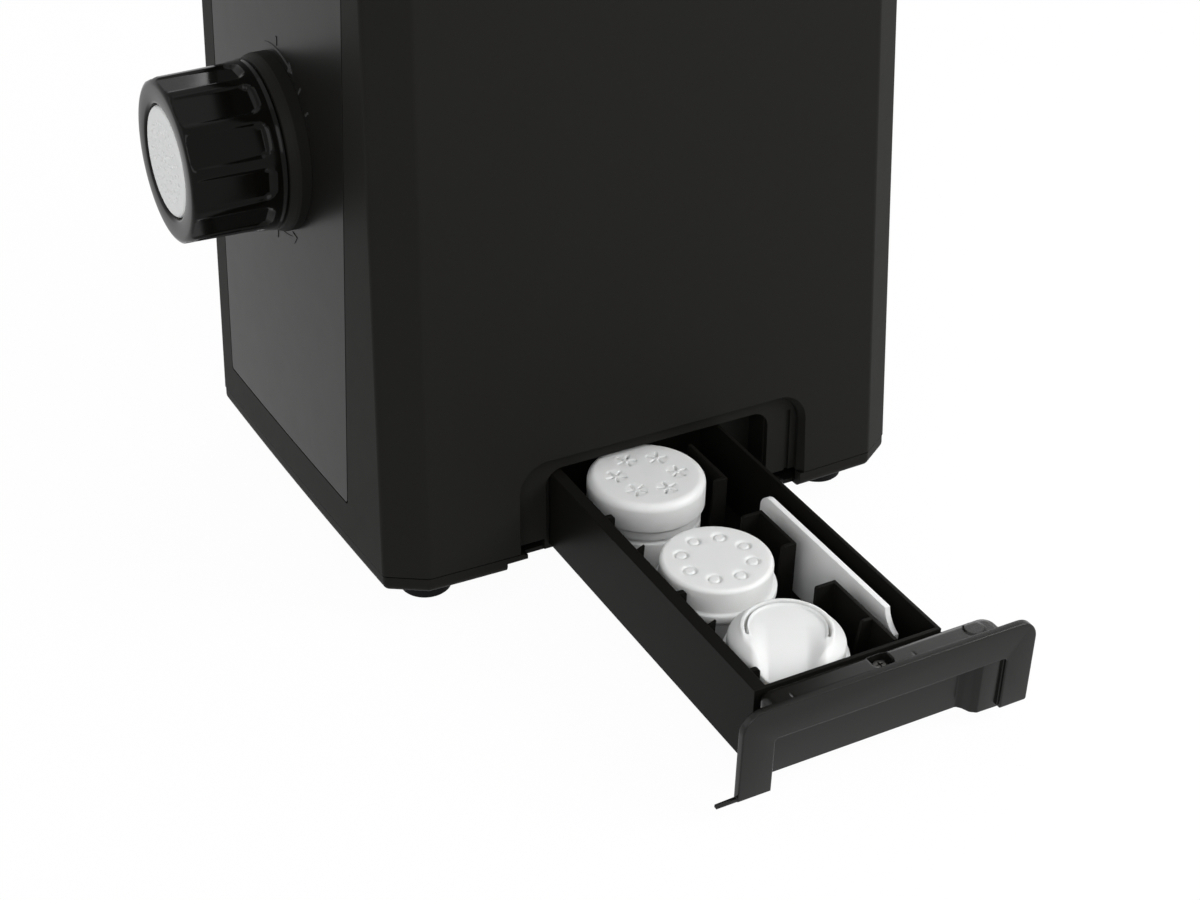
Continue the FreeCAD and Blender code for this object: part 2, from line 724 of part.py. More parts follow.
def die_blank(face_radius, floor):
    """A die standing on its open end with its nose up; the nose narrows to face_radius and is hollow up to floor."""
    shoulder = die_height - die_nose_height
    body = shoulder - die_flange_thick
    slope = 1.2 + 0.9 * (die_nose_radius - face_radius)
    profile = [(die_bore, 0), (die_body_radius, 0), (die_body_radius, body - 3.0), (die_body_radius - 1.2, body - 2.4),
               (die_body_radius - 1.2, body), (die_flange_radius, body), (die_flange_radius, shoulder),
               (die_nose_radius, shoulder), (die_nose_radius, die_height - slope),
               (face_radius - 0.4, die_height - 0.35), (face_radius - 1.3, die_height),
               (0, die_height), (0, floor), (die_bore, floor)]
    return turned(profile, vec(0, 0, 0), Z)


def spaghetti_die():
    """The die in the nut: rings of round holes."""
    die = die_blank(die_nose_radius, die_height - die_face_thick)
    holes = []
    for ring, count in ((0.0, 1), (4.2, 6), (8.4, 12), (12.4, 18), (16.2, 24)):
        for i in range(count):
            angle = 2 * math.pi * i / count + ring
            x = ring * math.cos(angle)
            y = ring * math.sin(angle)
            holes.append(rod_z(0.9, x, y, die_height - die_face_thick - 1, die_height + 1))
    die = die.cut(Part.makeCompound(holes))
    die.rotate(vec(0, 0, 0), X, 90)
    die.translate(vec(0, -die_face + die_height, axis_height))
    return die


def star_die():
    """A wider die with rosettes of five short slots; it has no shoulder, so its cap is the widest place."""
    cap = die_height - 13.7
    profile = [(wide_die_body - 5.0, 0), (wide_die_body, 0), (wide_die_body, cap - 6.6), (wide_die_body - 1.0, cap - 6.0),
               (wide_die_body - 1.0, cap - 5.0), (wide_die_body, cap - 4.4), (wide_die_body, cap), (wide_die_radius, cap + 0.6),
               (wide_die_radius, die_height - 3.8), (wide_die_radius - 0.5, die_height - 2.5),
               (wide_die_radius - 2.6, die_height - 0.6), (wide_die_radius - 3.6, die_height), (0, die_height),
               (0, die_height - die_face_thick), (wide_die_body - 5.0, die_height - die_face_thick)]
    die = turned(profile, vec(0, 0, 0), Z)
    slot = box(1.2, 4.4, -0.4, 0.4, die_height - die_face_thick - 1, die_height + 1)
    for i in range(6):
        slots = []
        for k in range(5):
            leg = slot.copy()
            leg.rotate(vec(0, 0, 0), Z, k * 72 + 20)
            slots.append(leg)
        star = Part.makeCompound(slots)
        star.translate(vec(13.3, 0, 0))
        star.rotate(vec(0, 0, 0), Z, i * 60 + 12)
        die = die.cut(star)
    return die


def ring_die():
    """A ring of tube-shaped slots, each with its core held at the back."""
    die = die_blank(die_nose_radius, die_height - die_face_thick)
    for i in range(8):
        angle = math.radians(i * 45 + 10)
        x = 14.5 * math.cos(angle)
        y = 14.5 * math.sin(angle)
        slot = rod_z(2.9, x, y, die_height - 1.6, die_height + 1).cut(rod_z(2.0, x, y, die_height - 2, die_height + 2))
        feed = [rod_z(0.35, x + 2.45 * math.cos(a), y + 2.45 * math.sin(a), die_height - die_face_thick - 1, die_height - 1)
                for a in (angle, angle + 2.09, angle + 4.19)]
        die = cut(die, [slot] + feed)
    return die


def sheet_die():
    """A thin curved slot in a raised rim that is open on one side, where a trough runs down and out."""
    floor = die_height - die_nose_height
    die = die_blank(19.6, floor)
    rim = Part.makeCone(19.0, 18.0, 2.2, vec(0, 0, die_height - 1), Z)
    die = die.fuse(rim)
    slot = rod_z(16.7, 0, 0, floor - 1, die_height + 3).cut(rod_z(15.9, 0, 0, 0, die_height + 4))
    half = Part.makeCylinder(30, 60, vec(0, 0, 0), Z, 215)
    half.rotate(vec(0, 0, 0), Z, 72.5)
    trough_radius = 13.0
    bed = die_height - 0.6 + trough_radius
    trough = Part.makeSphere(trough_radius, vec(-1.0, 0, bed))
    trough = trough.fuse(Part.makeCylinder(trough_radius, 60, vec(-1.0, 0, bed), vec(math.cos(0.19), 0, -math.sin(0.19))))
    die = cut(die, [slot.common(half), trough])
    die.rotate(vec(0, 0, 0), Z, -30)
    return die


def stand_die(die, x, y):
    die.translate(vec(x, y, drawer_bottom + drawer_floor + press_gap))
    return level_to_sag(die)


def flute():
    """One flat-floored hollow of the nut, lying over the axis and open at the front."""
    half = flute_width / 2
    outline = [(-half, -nut_back - flute_start, 3.5), (-half, -nut_front - 5, 0.1), (half, -nut_front - 5, 0.1),
               (half, -nut_back - flute_start, 3.5)]
    return plate_z(outline, axis_height + flute_floor, axis_height + flute_floor + 10)


def locking_nut():
    lip = die_nose_radius + 0.4
    outline = [(nut_bore, -nut_back), (nut_base_radius - 0.3, -nut_back), (nut_base_radius, -nut_back - 0.4),
               (nut_base_radius, -nut_back - 1.2), (nut_ridge_radius, -nut_back - 1.8), (nut_nose_radius, -nut_front + 4.4),
               (nut_nose_radius - 0.5, -nut_front + 2.6), (nut_nose_radius - 1.4, -nut_front + 1.2),
               (nut_nose_radius - 2.8, -nut_front + 0.3), (nut_nose_radius - 4.2, -nut_front), (lip + 1.6, -nut_front),
               (lip + 0.5, -nut_front + 0.3), (lip, -nut_front + 1.2), (lip, -die_shoulder - die_seat),
               (nut_bore, -die_shoulder - die_seat)]
    nut = turned(outline, vec(0, 0, axis_height), Y)
    for i in range(flute_count):
        hollow = flute()
        hollow.rotate(vec(0, 0, axis_height), Y, flute_turn + i * 360.0 / flute_count)
        nut = nut.cut(hollow)
    lug_y = -barrel_end + 5.0 + lug_length + fit_gap
    for lug in lug_ring(barrel_radius + slide_gap, nut_bore + 1, lug_y, lug_y + lug_length, 0):
        nut = nut.fuse(lug)
    return nut.removeSplitter()


def helix_flight(core, outer, pitch, turns, y0, thick):
    """A screw flight round the extruder's axis, starting at y0 and running towards the back."""
    height = pitch * turns
    path = Part.makeHelix(pitch, height, (core + outer) / 2)
    inner = core - 0.8
    corners = [vec(inner, 0, -thick * 0.75), vec(outer, 0, -thick / 2), vec(outer, 0, thick / 2), vec(inner, 0, thick * 0.75)]
    profile = Part.makePolygon(corners + corners[:1])
    flight = Part.Wire(path).makePipeShell([profile], True, True)
    flight.rotate(vec(0, 0, 0), X, -90)
    flight.translate(vec(0, y0, axis_height))
    return flight


auger_front = -barrel_end + 22.0
auger_back = chamber_front + 26.0


def auger():
    core = 8.5
    pitch = 23.0
    length = auger_back - auger_front - 8.0
    shaft = rod_y(core, output_axis, auger_front, auger_back)
    nose = Part.makeCone(core, 3.0, 5.0, vec(0, auger_front, axis_height), Y * -1)
    flight = helix_flight(core, barrel_bore - 0.5, pitch, length / pitch, auger_front + 3.0, 3.2)
    return join([shaft, nose, flight])


def mixing_paddle():
    hub_back = chamber_back - 1.0
    hub = rod_y(11.5, output_axis, auger_back + fit_gap, hub_back)
    arms = []
    reach = chamber_radius - 2.5
    for i, y in enumerate((auger_back + 12, auger_back + 42, auger_back + 72, hub_back - 12)):
        arm = box(-5, 5, y - 4, y + 4, axis_height, axis_height + reach - 6)
        blade = box(-7, 7, y - 11, y + 8, axis_height + reach - 12, axis_height + reach + 2)
        blade = blade.common(rod_y(reach, output_axis, y - 12, y + 9))
        whole = join([arm, blade])
        whole.rotate(vec(0, 0, axis_height), Y, i * 90 + 35)
        arms.append(whole)
    paddle = join([hub] + arms)
    socket = hexagon(output_shaft_radius + 0.05 - 1.2, chamber_back - 22.0, hub_back + 1)
    return paddle.cut(socket)


def hexagon(radius, y0, y1):
    points = [vec(radius * 1.1547 * math.cos(math.radians(60 * k)), y0, axis_height + radius * 1.1547 * math.sin(math.radians(60 * k)))
              for k in range(6)]
    return Part.Face(Part.makePolygon(points + points[:1])).extrude(vec(0, y1 - y0, 0))


def output_shaft():
    nose = hexagon(output_shaft_radius - 1.2, chamber_back - 20.0, chamber_back - 0.6)
    shaft = rod_y(output_shaft_radius, output_axis, chamber_back - 0.7, gearbox_front + gearbox_depth + 1.0)
    return join([nose, shaft])


def involute(base_radius, angle):
    along = base_radius * (math.cos(angle) + angle * math.sin(angle))
    across = base_radius * (math.sin(angle) - angle * math.cos(angle))
    return along, across


def spur_gear(module, teeth, centre, phase, y0, y1, bore):
    """An involute spur gear; phase is the direction of one tooth's middle, in radians from +X."""
    pitch_radius = module * teeth / 2
    base_radius = pitch_radius * math.cos(math.radians(20))
    tip = pitch_radius + addendum_share * module
    root = pitch_radius - 1.15 * module
    half_tooth = math.pi / (2 * teeth) - gear_backlash / (2 * pitch_radius)
    at_pitch = math.tan(math.radians(20)) - math.radians(20)
    flank = []
    for k in range(5):
        start = max(base_radius, root)
        radius = start + (tip - start) * k / 4
        spread = math.sqrt(max((radius / base_radius) ** 2 - 1, 0))
        along, across = involute(base_radius, spread)
        flank.append((radius, half_tooth + at_pitch - math.atan2(across, along)))
    points = []
    for i in range(teeth):
        middle = phase + 2 * math.pi * i / teeth
        side = [(root, flank[0][1] + 0.1 / root)] if root < base_radius else []
        for radius, spread in side + flank:
            points.append((radius, middle - spread))
        for radius, spread in reversed(side + flank):
            points.append((radius, middle + spread))
    ring = [vec(centre[0] + r * math.cos(a), y0, centre[1] + r * math.sin(a)) for r, a in points]
    wheel = Part.Face(Part.makePolygon(ring + ring[:1])).extrude(vec(0, y1 - y0, 0))
    return wheel.cut(rod_y(bore, centre, y0 - 1, y1 + 1))


def third_corner(a, from_a, b, from_b):
    """The point that lies from_a from a and from_b from b, on the +X side."""
    dx = b[0] - a[0]
    dz = b[1] - a[1]
    apart = math.hypot(dx, dz)
    along = (from_a ** 2 - from_b ** 2 + apart ** 2) / (2 * apart)
    across = math.sqrt(from_a ** 2 - along ** 2)
    return (a[0] + (along * dx - across * dz) / apart, a[1] + (along * dz + across * dx) / apart)


stage_reach = output_module * (output_wheel_teeth + output_pinion_teeth) / 2
motor_reach = stage_module * (stage_wheel_teeth + stage_pinion_teeth) / 2
stage_axis = third_corner(output_axis, stage_reach, motor_axis, motor_reach)


def direction(a, b):
    return math.atan2(b[1] - a[1], b[0] - a[0])


def output_gear():
    phase = direction(output_axis, stage_axis)
    gear = spur_gear(output_module, output_wheel_teeth, output_axis, phase, gear_plane, gear_plane + gear_face, output_shaft_radius)
    web = tube_y(output_module * output_wheel_teeth / 2 - 7, 14, output_axis, gear_plane - 1, gear_plane + 2.5)
    back = tube_y(output_module * output_wheel_teeth / 2 - 7, 14, output_axis, gear_plane + gear_face - 2.5, gear_plane + gear_face + 1)
    return cut(gear, [web, back])


def stage_pinion():
    phase = direction(stage_axis, output_axis) + math.pi / output_pinion_teeth
    return spur_gear(output_module, output_pinion_teeth, stage_axis, phase, gear_plane - 1.0, stage_plane, stage_axle_radius + press_gap)


def stage_gear():
    phase = direction(stage_axis, motor_axis)
    gear = spur_gear(stage_module, stage_wheel_teeth, stage_axis, phase, stage_plane, stage_plane + gear_face, stage_axle_radius + press_gap)
    lightening = tube_y(stage_module * stage_wheel_teeth / 2 - 6, 12, stage_axis, stage_plane + gear_face - 3, stage_plane + gear_face + 1)
    return gear.cut(lightening)


def motor_pinion():
    phase = direction(motor_axis, stage_axis) + math.pi / stage_pinion_teeth
    return spur_gear(stage_module, stage_pinion_teeth, motor_axis, phase, stage_plane - 1.0, stage_plane + gear_face + 1.0, motor_shaft_radius)


def gearbox_corners(grow):
    low = motor_height - motor_radius - 2.0
    high = axis_height + output_module * output_wheel_teeth / 2 + gearbox_margin + 4.0
    half = gearbox_half_width
    return rectangle(-half - grow, half + grow, low - grow, high + grow, 10.0)


def gearbox_case():
    """The front plate with its rim, standing on two legs."""
    back = gearbox_front + gearbox_depth
    case = plate_y(gearbox_corners(0), gearbox_front, back)
    case = case.cut(plate_y(gearbox_corners(-3.0), gearbox_front + gearbox_plate, back + 1))
    low = base_underside + base_plate
    for sx in (-1, 1):
        leg = box(sx * 46 - 8, sx * 46 + 8, gearbox_front + 4, back - 6, low, motor_height - motor_radius + 0.5)
        case = case.fuse(leg)
    case = case.fuse(rod_y(13, output_axis, gearbox_front, gear_plane - 1.2))
    case = case.cut(rod_y(output_shaft_radius + 3.0, output_axis, gearbox_front - 1, gear_plane))
    case = case.cut(rod_y(stage_axle_radius, stage_axis, gearbox_front - 1, gearbox_front + gearbox_plate + 1))
    case = case.cut(rod_y(9.0, motor_axis, gearbox_front - 1, gearbox_front + gearbox_plate + 1))
    for spot in motor_screw_spots():
        case = case.cut(rod_y(motor_screw_radius + 0.2, spot, gearbox_front - 1, gearbox_front + gearbox_plate + 1))
    for x, z in gearbox_screw_spots():
        case = case.fuse(rod_y(4.5, (x, z), gearbox_front + 1, back))
        case = case.cut(rod_y(1.4, (x, z), back - 14, back + 1))
    return case.removeSplitter()


def gearbox_screw_spots():
    low = motor_height - motor_radius + 6.0
    high = axis_height + output_module * output_wheel_teeth / 2
    half = gearbox_half_width - 6.5
    return [(sx * half, z) for sx in (-1, 1) for z in (low, high)]


def gearbox_cover():
    front = gearbox_front + gearbox_depth
    cover = plate_y(gearbox_corners(0), front, front + 2.5)
    cover = cover.fuse(rod_y(12, output_axis, front - 8, front + 2.5))
    cover = cover.cut(rod_y(output_shaft_radius + 3.0, output_axis, front - 9, front + 1.2))
    cover = cover.fuse(rod_y(stage_axle_radius + 3, stage_axis, front - 5, front + 1))
    cover = cover.cut(rod_y(stage_axle_radius, stage_axis, front - 6, front + 1.2))
    for x, z in gearbox_screw_spots():
        cover = cover.cut(rod_y(1.9, (x, z), front - 1, front + 4))
    return cover.removeSplitter()


def gearbox_screws():
    back = gearbox_front + gearbox_depth + 2.5
    solids = []
    for x, z in gearbox_screw_spots():
        head = rod_y(3.2, (x, z), back, back + 1.8)
        shank = rod_y(1.4, (x, z), back - 13, back + 0.5)
        slot = box(x - 2.2, x + 2.2, back + 1.0, back + 3, z - 0.4, z + 0.4)
        solids.append(head.fuse(shank).cut(slot))
    return Part.makeCompound(solids)


def bush(y0, y1):
    return tube_y(output_shaft_radius + 2.95, output_shaft_radius + press_gap, output_axis, y0, y1)


def stage_axle():
    return rod_y(stage_axle_radius, stage_axis, gearbox_front, gearbox_front + gearbox_depth + 1.0)


motor_front = gearbox_front - motor_length


def motor_case():
    can = rod_y(motor_radius, motor_axis, motor_front, gearbox_front - 0.1)
    can = can.cut(rod_y(motor_radius - 1.6, motor_axis, motor_front - 1, gearbox_front - 4.0))
    can = can.cut(rod_y(6.0, motor_axis, gearbox_front - 5, gearbox_front + 1))
    nose = tube_y(8.6, motor_shaft_radius + press_gap, motor_axis, gearbox_front - 4.0, gearbox_front + 2.0)
    for k in range(6):
        angle = math.radians(60 * k)
        window = box(-6, 6, motor_front + 14, motor_front + 34, motor_radius - 5, motor_radius + 3)
        window.rotate(vec(0, 0, 0), Y, math.degrees(angle))
        window.translate(vec(motor_axis[0], 0, motor_axis[1]))
        can = can.cut(window)
    for spot in motor_screw_spots():
        can = can.cut(rod_y(motor_screw_radius, spot, gearbox_front - 5, gearbox_front + 1))
    return can.fuse(nose).removeSplitter()


def stator_core():
    """The wound stack inside the motor, as one ring."""
    return tube_y(motor_radius - 1.6, 17.0, motor_axis, motor_front + 40, gearbox_front - 14)


def motor_end_cap():
    cap = rod_y(motor_radius - 1.7, motor_axis, motor_front, motor_front + 3.0)
    hub = rod_y(6.0, motor_axis, motor_front, motor_front + 6.0)
    cap = cap.fuse(hub).cut(rod_y(motor_shaft_radius + press_gap, motor_axis, motor_front - 1, motor_front + 8))
    for k in range(6):
        angle = math.radians(60 * k + 30)
        spot = (motor_axis[0] + 16 * math.cos(angle), motor_axis[1] + 16 * math.sin(angle))
        cap = cap.cut(rod_y(4.5, spot, motor_front - 1, motor_front + 4))
    return cap


def motor_shaft():
    return rod_y(motor_shaft_radius, motor_axis, motor_front - 2.0, stage_plane + gear_face + 3.0)


def rotor_core():
    core = tube_y(16.4, motor_shaft_radius, motor_axis, motor_front + 42, gearbox_front - 16)
    commutator = tube_y(9.0, motor_shaft_radius, motor_axis, motor_front + 26, motor_front + 38)
    return Part.makeCompound([core, commutator])


def cooling_fan():
    hub = tube_y(7.0, motor_shaft_radius, motor_axis, motor_front + 9, motor_front + 22)
    plate = tube_y(21.0, motor_shaft_radius, motor_axis, motor_front + 20, motor_front + 22)
    blades = []
    for k in range(9):
        blade = box(6, 20.5, motor_front + 9, motor_front + 20.5, -0.8, 0.8)
        blade.rotate(vec(0, 0, 0), Y, 40 * k)
        blade.translate(vec(motor_axis[0], 0, motor_axis[1]))
        blades.append(blade)
    return join([hub, plate] + blades)


def motor_screw_spots():
    return [(motor_axis[0] - 15.0, motor_axis[1]), (motor_axis[0] + 15.0, motor_axis[1])]


def motor_screws():
    solids = []
    seat = gearbox_front + gearbox_plate
    for spot in motor_screw_spots():
        head = rod_y(3.0, spot, seat, seat + 2.0)
        shank = rod_y(motor_screw_radius, spot, seat - 6.0, seat + 0.5)
        slot = box(spot[0] - 2.0, spot[0] + 2.0, seat + 1.2, seat + 3.0, spot[1] - 0.4, spot[1] + 0.4)
        solids.append(head.fuse(shank).cut(slot))
    return Part.makeCompound(solids)


lid_low = deck_top + 2.5
lid_half_x = chamber_radius + chamber_wall + chamber_rim + 3.2
lid_front_y = chamber_front - chamber_wall - lid_overlap
lid_back_y = chamber_back + chamber_wall + lid_overlap


def lid_frame():
    outer = plate_z(rectangle(-lid_half_x, lid_half_x, lid_front_y, lid_back_y, 11.0), deck_top + fit_gap, lid_low + lid_height)
    outer = outer.makeFillet(3.5, rim_edges(outer, lid_low + lid_height))
    inner = plate_z(rectangle(-lid_half_x + lid_wall, lid_half_x - lid_wall, lid_front_y + lid_wall, lid_back_y - lid_wall, 9.0),
                    deck_top, lid_low + lid_height - 3.0)
    frame = outer.cut(inner)
    window = rectangle(-lid_half_x + 13, lid_half_x - 13, lid_front_y + 20, lid_back_y - 16, 8.0)
    frame = frame.cut(plate_z(window, deck_top, deck_top + 40))
    seat = rectangle(-lid_half_x + 10, lid_half_x - 10, lid_front_y + 17, lid_back_y - 13, 10.0)
    frame = frame.cut(plate_z(seat, lid_low + lid_height - 1.5, deck_top + 40))
    finger = Part.makeCylinder(9.0, 4.0, vec(0, lid_front_y + 9.5, lid_low + lid_height - 2.0), Z)
    frame = frame.cut(finger)
    for x0, x1 in hinge_ears():
        knuckle = (x1 + fit_gap, x1 + 10.0) if x0 < 0 else (x0 - 10.0, x0 - fit_gap)
        arm = box(knuckle[0], knuckle[1], lid_back_y - 3.0, hinge_back, deck_top + 1.0, deck_top + 7.0)
        eye = rod_x(3.7, knuckle[0], knuckle[1], hinge_back, deck_top + 4.0)
        frame = frame.fuse(arm).fuse(eye)
        frame = frame.cut(rod_x(hinge_pin_radius + press_gap, knuckle[0] - 1, knuckle[1] + 1, hinge_back, deck_top + 4.0))
    return frame.removeSplitter()


def lid_window():
    seat = rectangle(-lid_half_x + 10.2, lid_half_x - 10.2, lid_front_y + 17.2, lid_back_y - 13.2, 9.8)
    sheet = plate_z(seat, lid_low + lid_height - 1.45, lid_low + lid_height + 0.6)
    slots = []
    for i in range(5):
        y = lid_front_y + 40 + i * 8
        slots.append(plate_z(rectangle(-16, 16, y - 1.4, y + 1.4, 1.3), lid_low, lid_low + 30))
    return cut(sheet, slots)


def lid_magnet():
    return rod_z(3.0, 40.0, lid_front_y + 6.0, lid_low + lid_height - 6.0, lid_low + lid_height - 3.0)


def lid_sensor():
    return box(36.0, 44.0, lid_front_y - 2.0, lid_front_y + 5.0, deck_top - deck_plate - 4.0, deck_top - deck_plate)


def hinge_pins():
    pins = []
    for x0, x1 in hinge_ears():
        low = x0 if x0 < 0 else x0 - 10.0
        high = x1 + 10.0 if x0 < 0 else x1
        pins.append(rod_x(hinge_pin_radius, low, high, hinge_back, deck_top + 4.0))
    return Part.makeCompound(pins)


def rear_face_y(height):
    return body_depth / 2 - lean * (height - seam_height)


def rear_bulge(x):
    return front_bow * (1 - (2 * x / (body_width - 2 * corner_front)) ** 2)


def cord_gland():
    """The bush where the mains lead would enter; the lead itself is left out."""
    y = rear_face_y(gland_height) + rear_bulge(gland_x)
    profile = [(3.6, -6.0), (gland_radius - 0.2, -6.0), (gland_radius - 0.2, 0.45), (gland_radius + 2.5, 0.45), (gland_radius + 2.5, 2.0),
               (gland_radius + 0.6, 3.2), (5.6, gland_length), (3.6, gland_length)]
    return turned(profile, vec(gland_x, y, gland_height), Y)


def switch_body():
    y = rear_face_y(rocker_height) + rear_bulge(gland_x)
    gap = fit_gap / 2
    bezel = box(gland_x - rocker_width / 2 - 2, gland_x + rocker_width / 2 + 2, y + 0.5, y + 2.2,
                rocker_height - rocker_tall / 2 - 2, rocker_height + rocker_tall / 2 + 2)
    body = box(gland_x - rocker_width / 2 + gap, gland_x + rocker_width / 2 - gap, y - 14, y + 1,
               rocker_height - rocker_tall / 2 + gap, rocker_height + rocker_tall / 2 - gap)
    hollow = box(gland_x - rocker_width / 2 + 3, gland_x + rocker_width / 2 - 3, y - 8, y + 4,
                 rocker_height - rocker_tall / 2 + 3, rocker_height + rocker_tall / 2 - 3)
    pin = rod_x(rocker_pin_radius + press_gap, gland_x - rocker_width / 2 + 1.5, gland_x + rocker_width / 2 - 1.5, y + 1.0, rocker_height)
    return cut(bezel.fuse(body), [hollow, pin]).removeSplitter()


def power_rocker():
    """The rocker, pressed at its upper end."""
    y = rear_face_y(rocker_height) + rear_bulge(gland_x)
    half = rocker_tall / 2 - 4.0
    points = [(y - 2.0, -half), (y + 4.4, -half), (y + 2.4, 0.0), (y + 0.8, half), (y - 2.0, half)]
    ring = [vec(gland_x - rocker_width / 2 + 3.4, u, rocker_height + v) for u, v in points]
    rocker = Part.Face(Part.makePolygon(ring + ring[:1])).extrude(vec(rocker_width - 6.8, 0, 0))
    pin = rod_x(rocker_pin_radius, gland_x - rocker_width / 2 + 1.6, gland_x + rocker_width / 2 - 1.6, y + 1.0, rocker_height)
    return rocker.fuse(pin).removeSplitter()


def power_board():
    """The board that drives the motor, on four stubs over the base."""
    left = -(body_width / 2 - 9.5)
    right = 2.0 - gearbox_half_width
    wide = right - left
    front = gearbox_front - 12.0
    board = box(left, right, front, front + 40, 32.0, 33.6)
    parts = [box(left + 0.1 * wide, left + 0.5 * wide, front + 6, front + 24, 33.6, 50.0),
             rod_z(0.15 * wide, left + 0.775 * wide, front + 30, 33.6, 52.0),
             box(left + 0.575 * wide, left + 0.9 * wide, front + 4, front + 16, 33.6, 41.0)]
    stubs = [rod_z(2.5, x, y, base_underside + base_plate, 32.0) for x in (left + 3, right - 3.5) for y in (front + 3, front + 37)]
    return join([board] + parts + stubs)


def tray_shell():
    outer = box(tray_back_x, tray_front_x, drawer_left, drawer_right, drawer_bottom, drawer_top)
    inner = box(tray_back_x + drawer_wall, tray_front_x - drawer_wall, drawer_left + drawer_wall, drawer_right - drawer_wall,
                drawer_bottom + drawer_floor, drawer_top + 1)
    return outer.cut(inner)


def drawer_tray():
    """The tray, with a ledge, tabs and pointed fins along the wall beside the dies."""
    tray = tray_shell()
    low = drawer_bottom + drawer_floor - 0.5
    wall = drawer_left + drawer_wall
    reach = die_lane_y - die_flange_radius + 2.7
    ledge = box(tray_back_x + 1, tray_front_x - 1, drawer_left + 0.5, drawer_left + wall_ledge, drawer_top - 1.6, drawer_top)
    tray = tray.fuse(ledge)
    for x in (wide_die_x + 20.0, ring_die_x + 12.6, sheet_die_x + 14.2):
        corners = [(wall - 1, low, 0.1), (reach, low, 0.1), (reach, drawer_top - 0.4, 1.6), (wall - 1, drawer_top - 0.4, 0.1)]
        tray = tray.fuse(plate_x(corners, x, x + 2.0))
    for x in ((wide_die_x + wide_die_radius + ring_die_x - die_flange_radius) / 2 + 12.0, sheet_die_x - 17.6):
        corners = [(wall - 1, low, 0.1), (reach - 1.5, low, 0.1), (reach + 0.4, drawer_top - 0.2, 0.1), (wall - 1, drawer_top - 4.0, 0.1)]
        tray = tray.fuse(plate_x(corners, x, x + 1.0))
    for x in (ring_die_x - 27.0, sheet_die_x - 4.0):
        tray = tray.fuse(box(x, x + 1.6, tool_y + tool_thick / 2 + 0.2, drawer_right - 0.5, low, drawer_top - 14.0))
        tray = tray.fuse(box(x, x + 1.6, divider_y + drawer_wall + 0.6, tool_y - tool_thick / 2 - 0.2, low, drawer_bottom + 12.0))
    return level_to_sag(tray.removeSplitter())


def divider_return(x, top_reach, low_reach):
    """A short wall that turns from the divider towards the dies."""
    low = drawer_bottom + drawer_floor + press_gap
    back = divider_y + drawer_wall
    corners = [(low_reach, low, 0.2), (back, low, 0.2), (back, divider_top, 0.2), (top_reach, divider_top, 1.0)]
    return plate_x(corners, x, x + drawer_wall)


def divider():
    """Three upright walls between the dies and the slot, with short returns towards the dies."""
    low = drawer_bottom + drawer_floor + press_gap
    back = divider_y + drawer_wall
    spans = ((tray_back_x + 20.0, wide_die_x + 16.5), (ring_die_x - 22.5, ring_die_x + 4.6), (sheet_die_x - 20.0, tray_front_x - 4.0))
    walls = [box(x0, x1, divider_y, back, low, divider_top) for x0, x1 in spans]
    walls.append(divider_return(wide_die_x + 15.0, 11.0, 8.8))
    walls.append(divider_return(ring_die_x - 22.5, 7.0, 7.0))
    walls.append(divider_return(ring_die_x + 3.0, 10.6, 6.6))
    walls.append(divider_return(sheet_die_x - 20.0, 7.2, 7.2))
    walls.append(divider_return(sheet_die_x + 6.6, 11.0, 6.0))
    foot = box(spans[0][0], spans[2][1], 12.6, back, low, low + 1.2)
    return level_to_sag(join([foot] + walls))


def cleaning_tool():
    """A flat scraper standing on its long edge, round at the back and flared at the front."""
    low = drawer_bottom + drawer_floor + press_gap
    top = drawer_top - 1.3
    x0 = ring_die_x - 33.5
    x1 = tray_front_x - 15.0
    blade = plate_y([(x0, low + 8, 6.0), (x0 + 30, low, 8.0), (x1, low, 1.0), (x1, top, 1.0), (x0, top, 7.0)],
                    tool_y - tool_thick / 2, tool_y + tool_thick / 2)
    hollow = rod_y(11.0, (x1 + 3.6, top + 1.5), tool_y - 5, tool_y + 5)
    return level_to_sag(blade.cut(hollow))


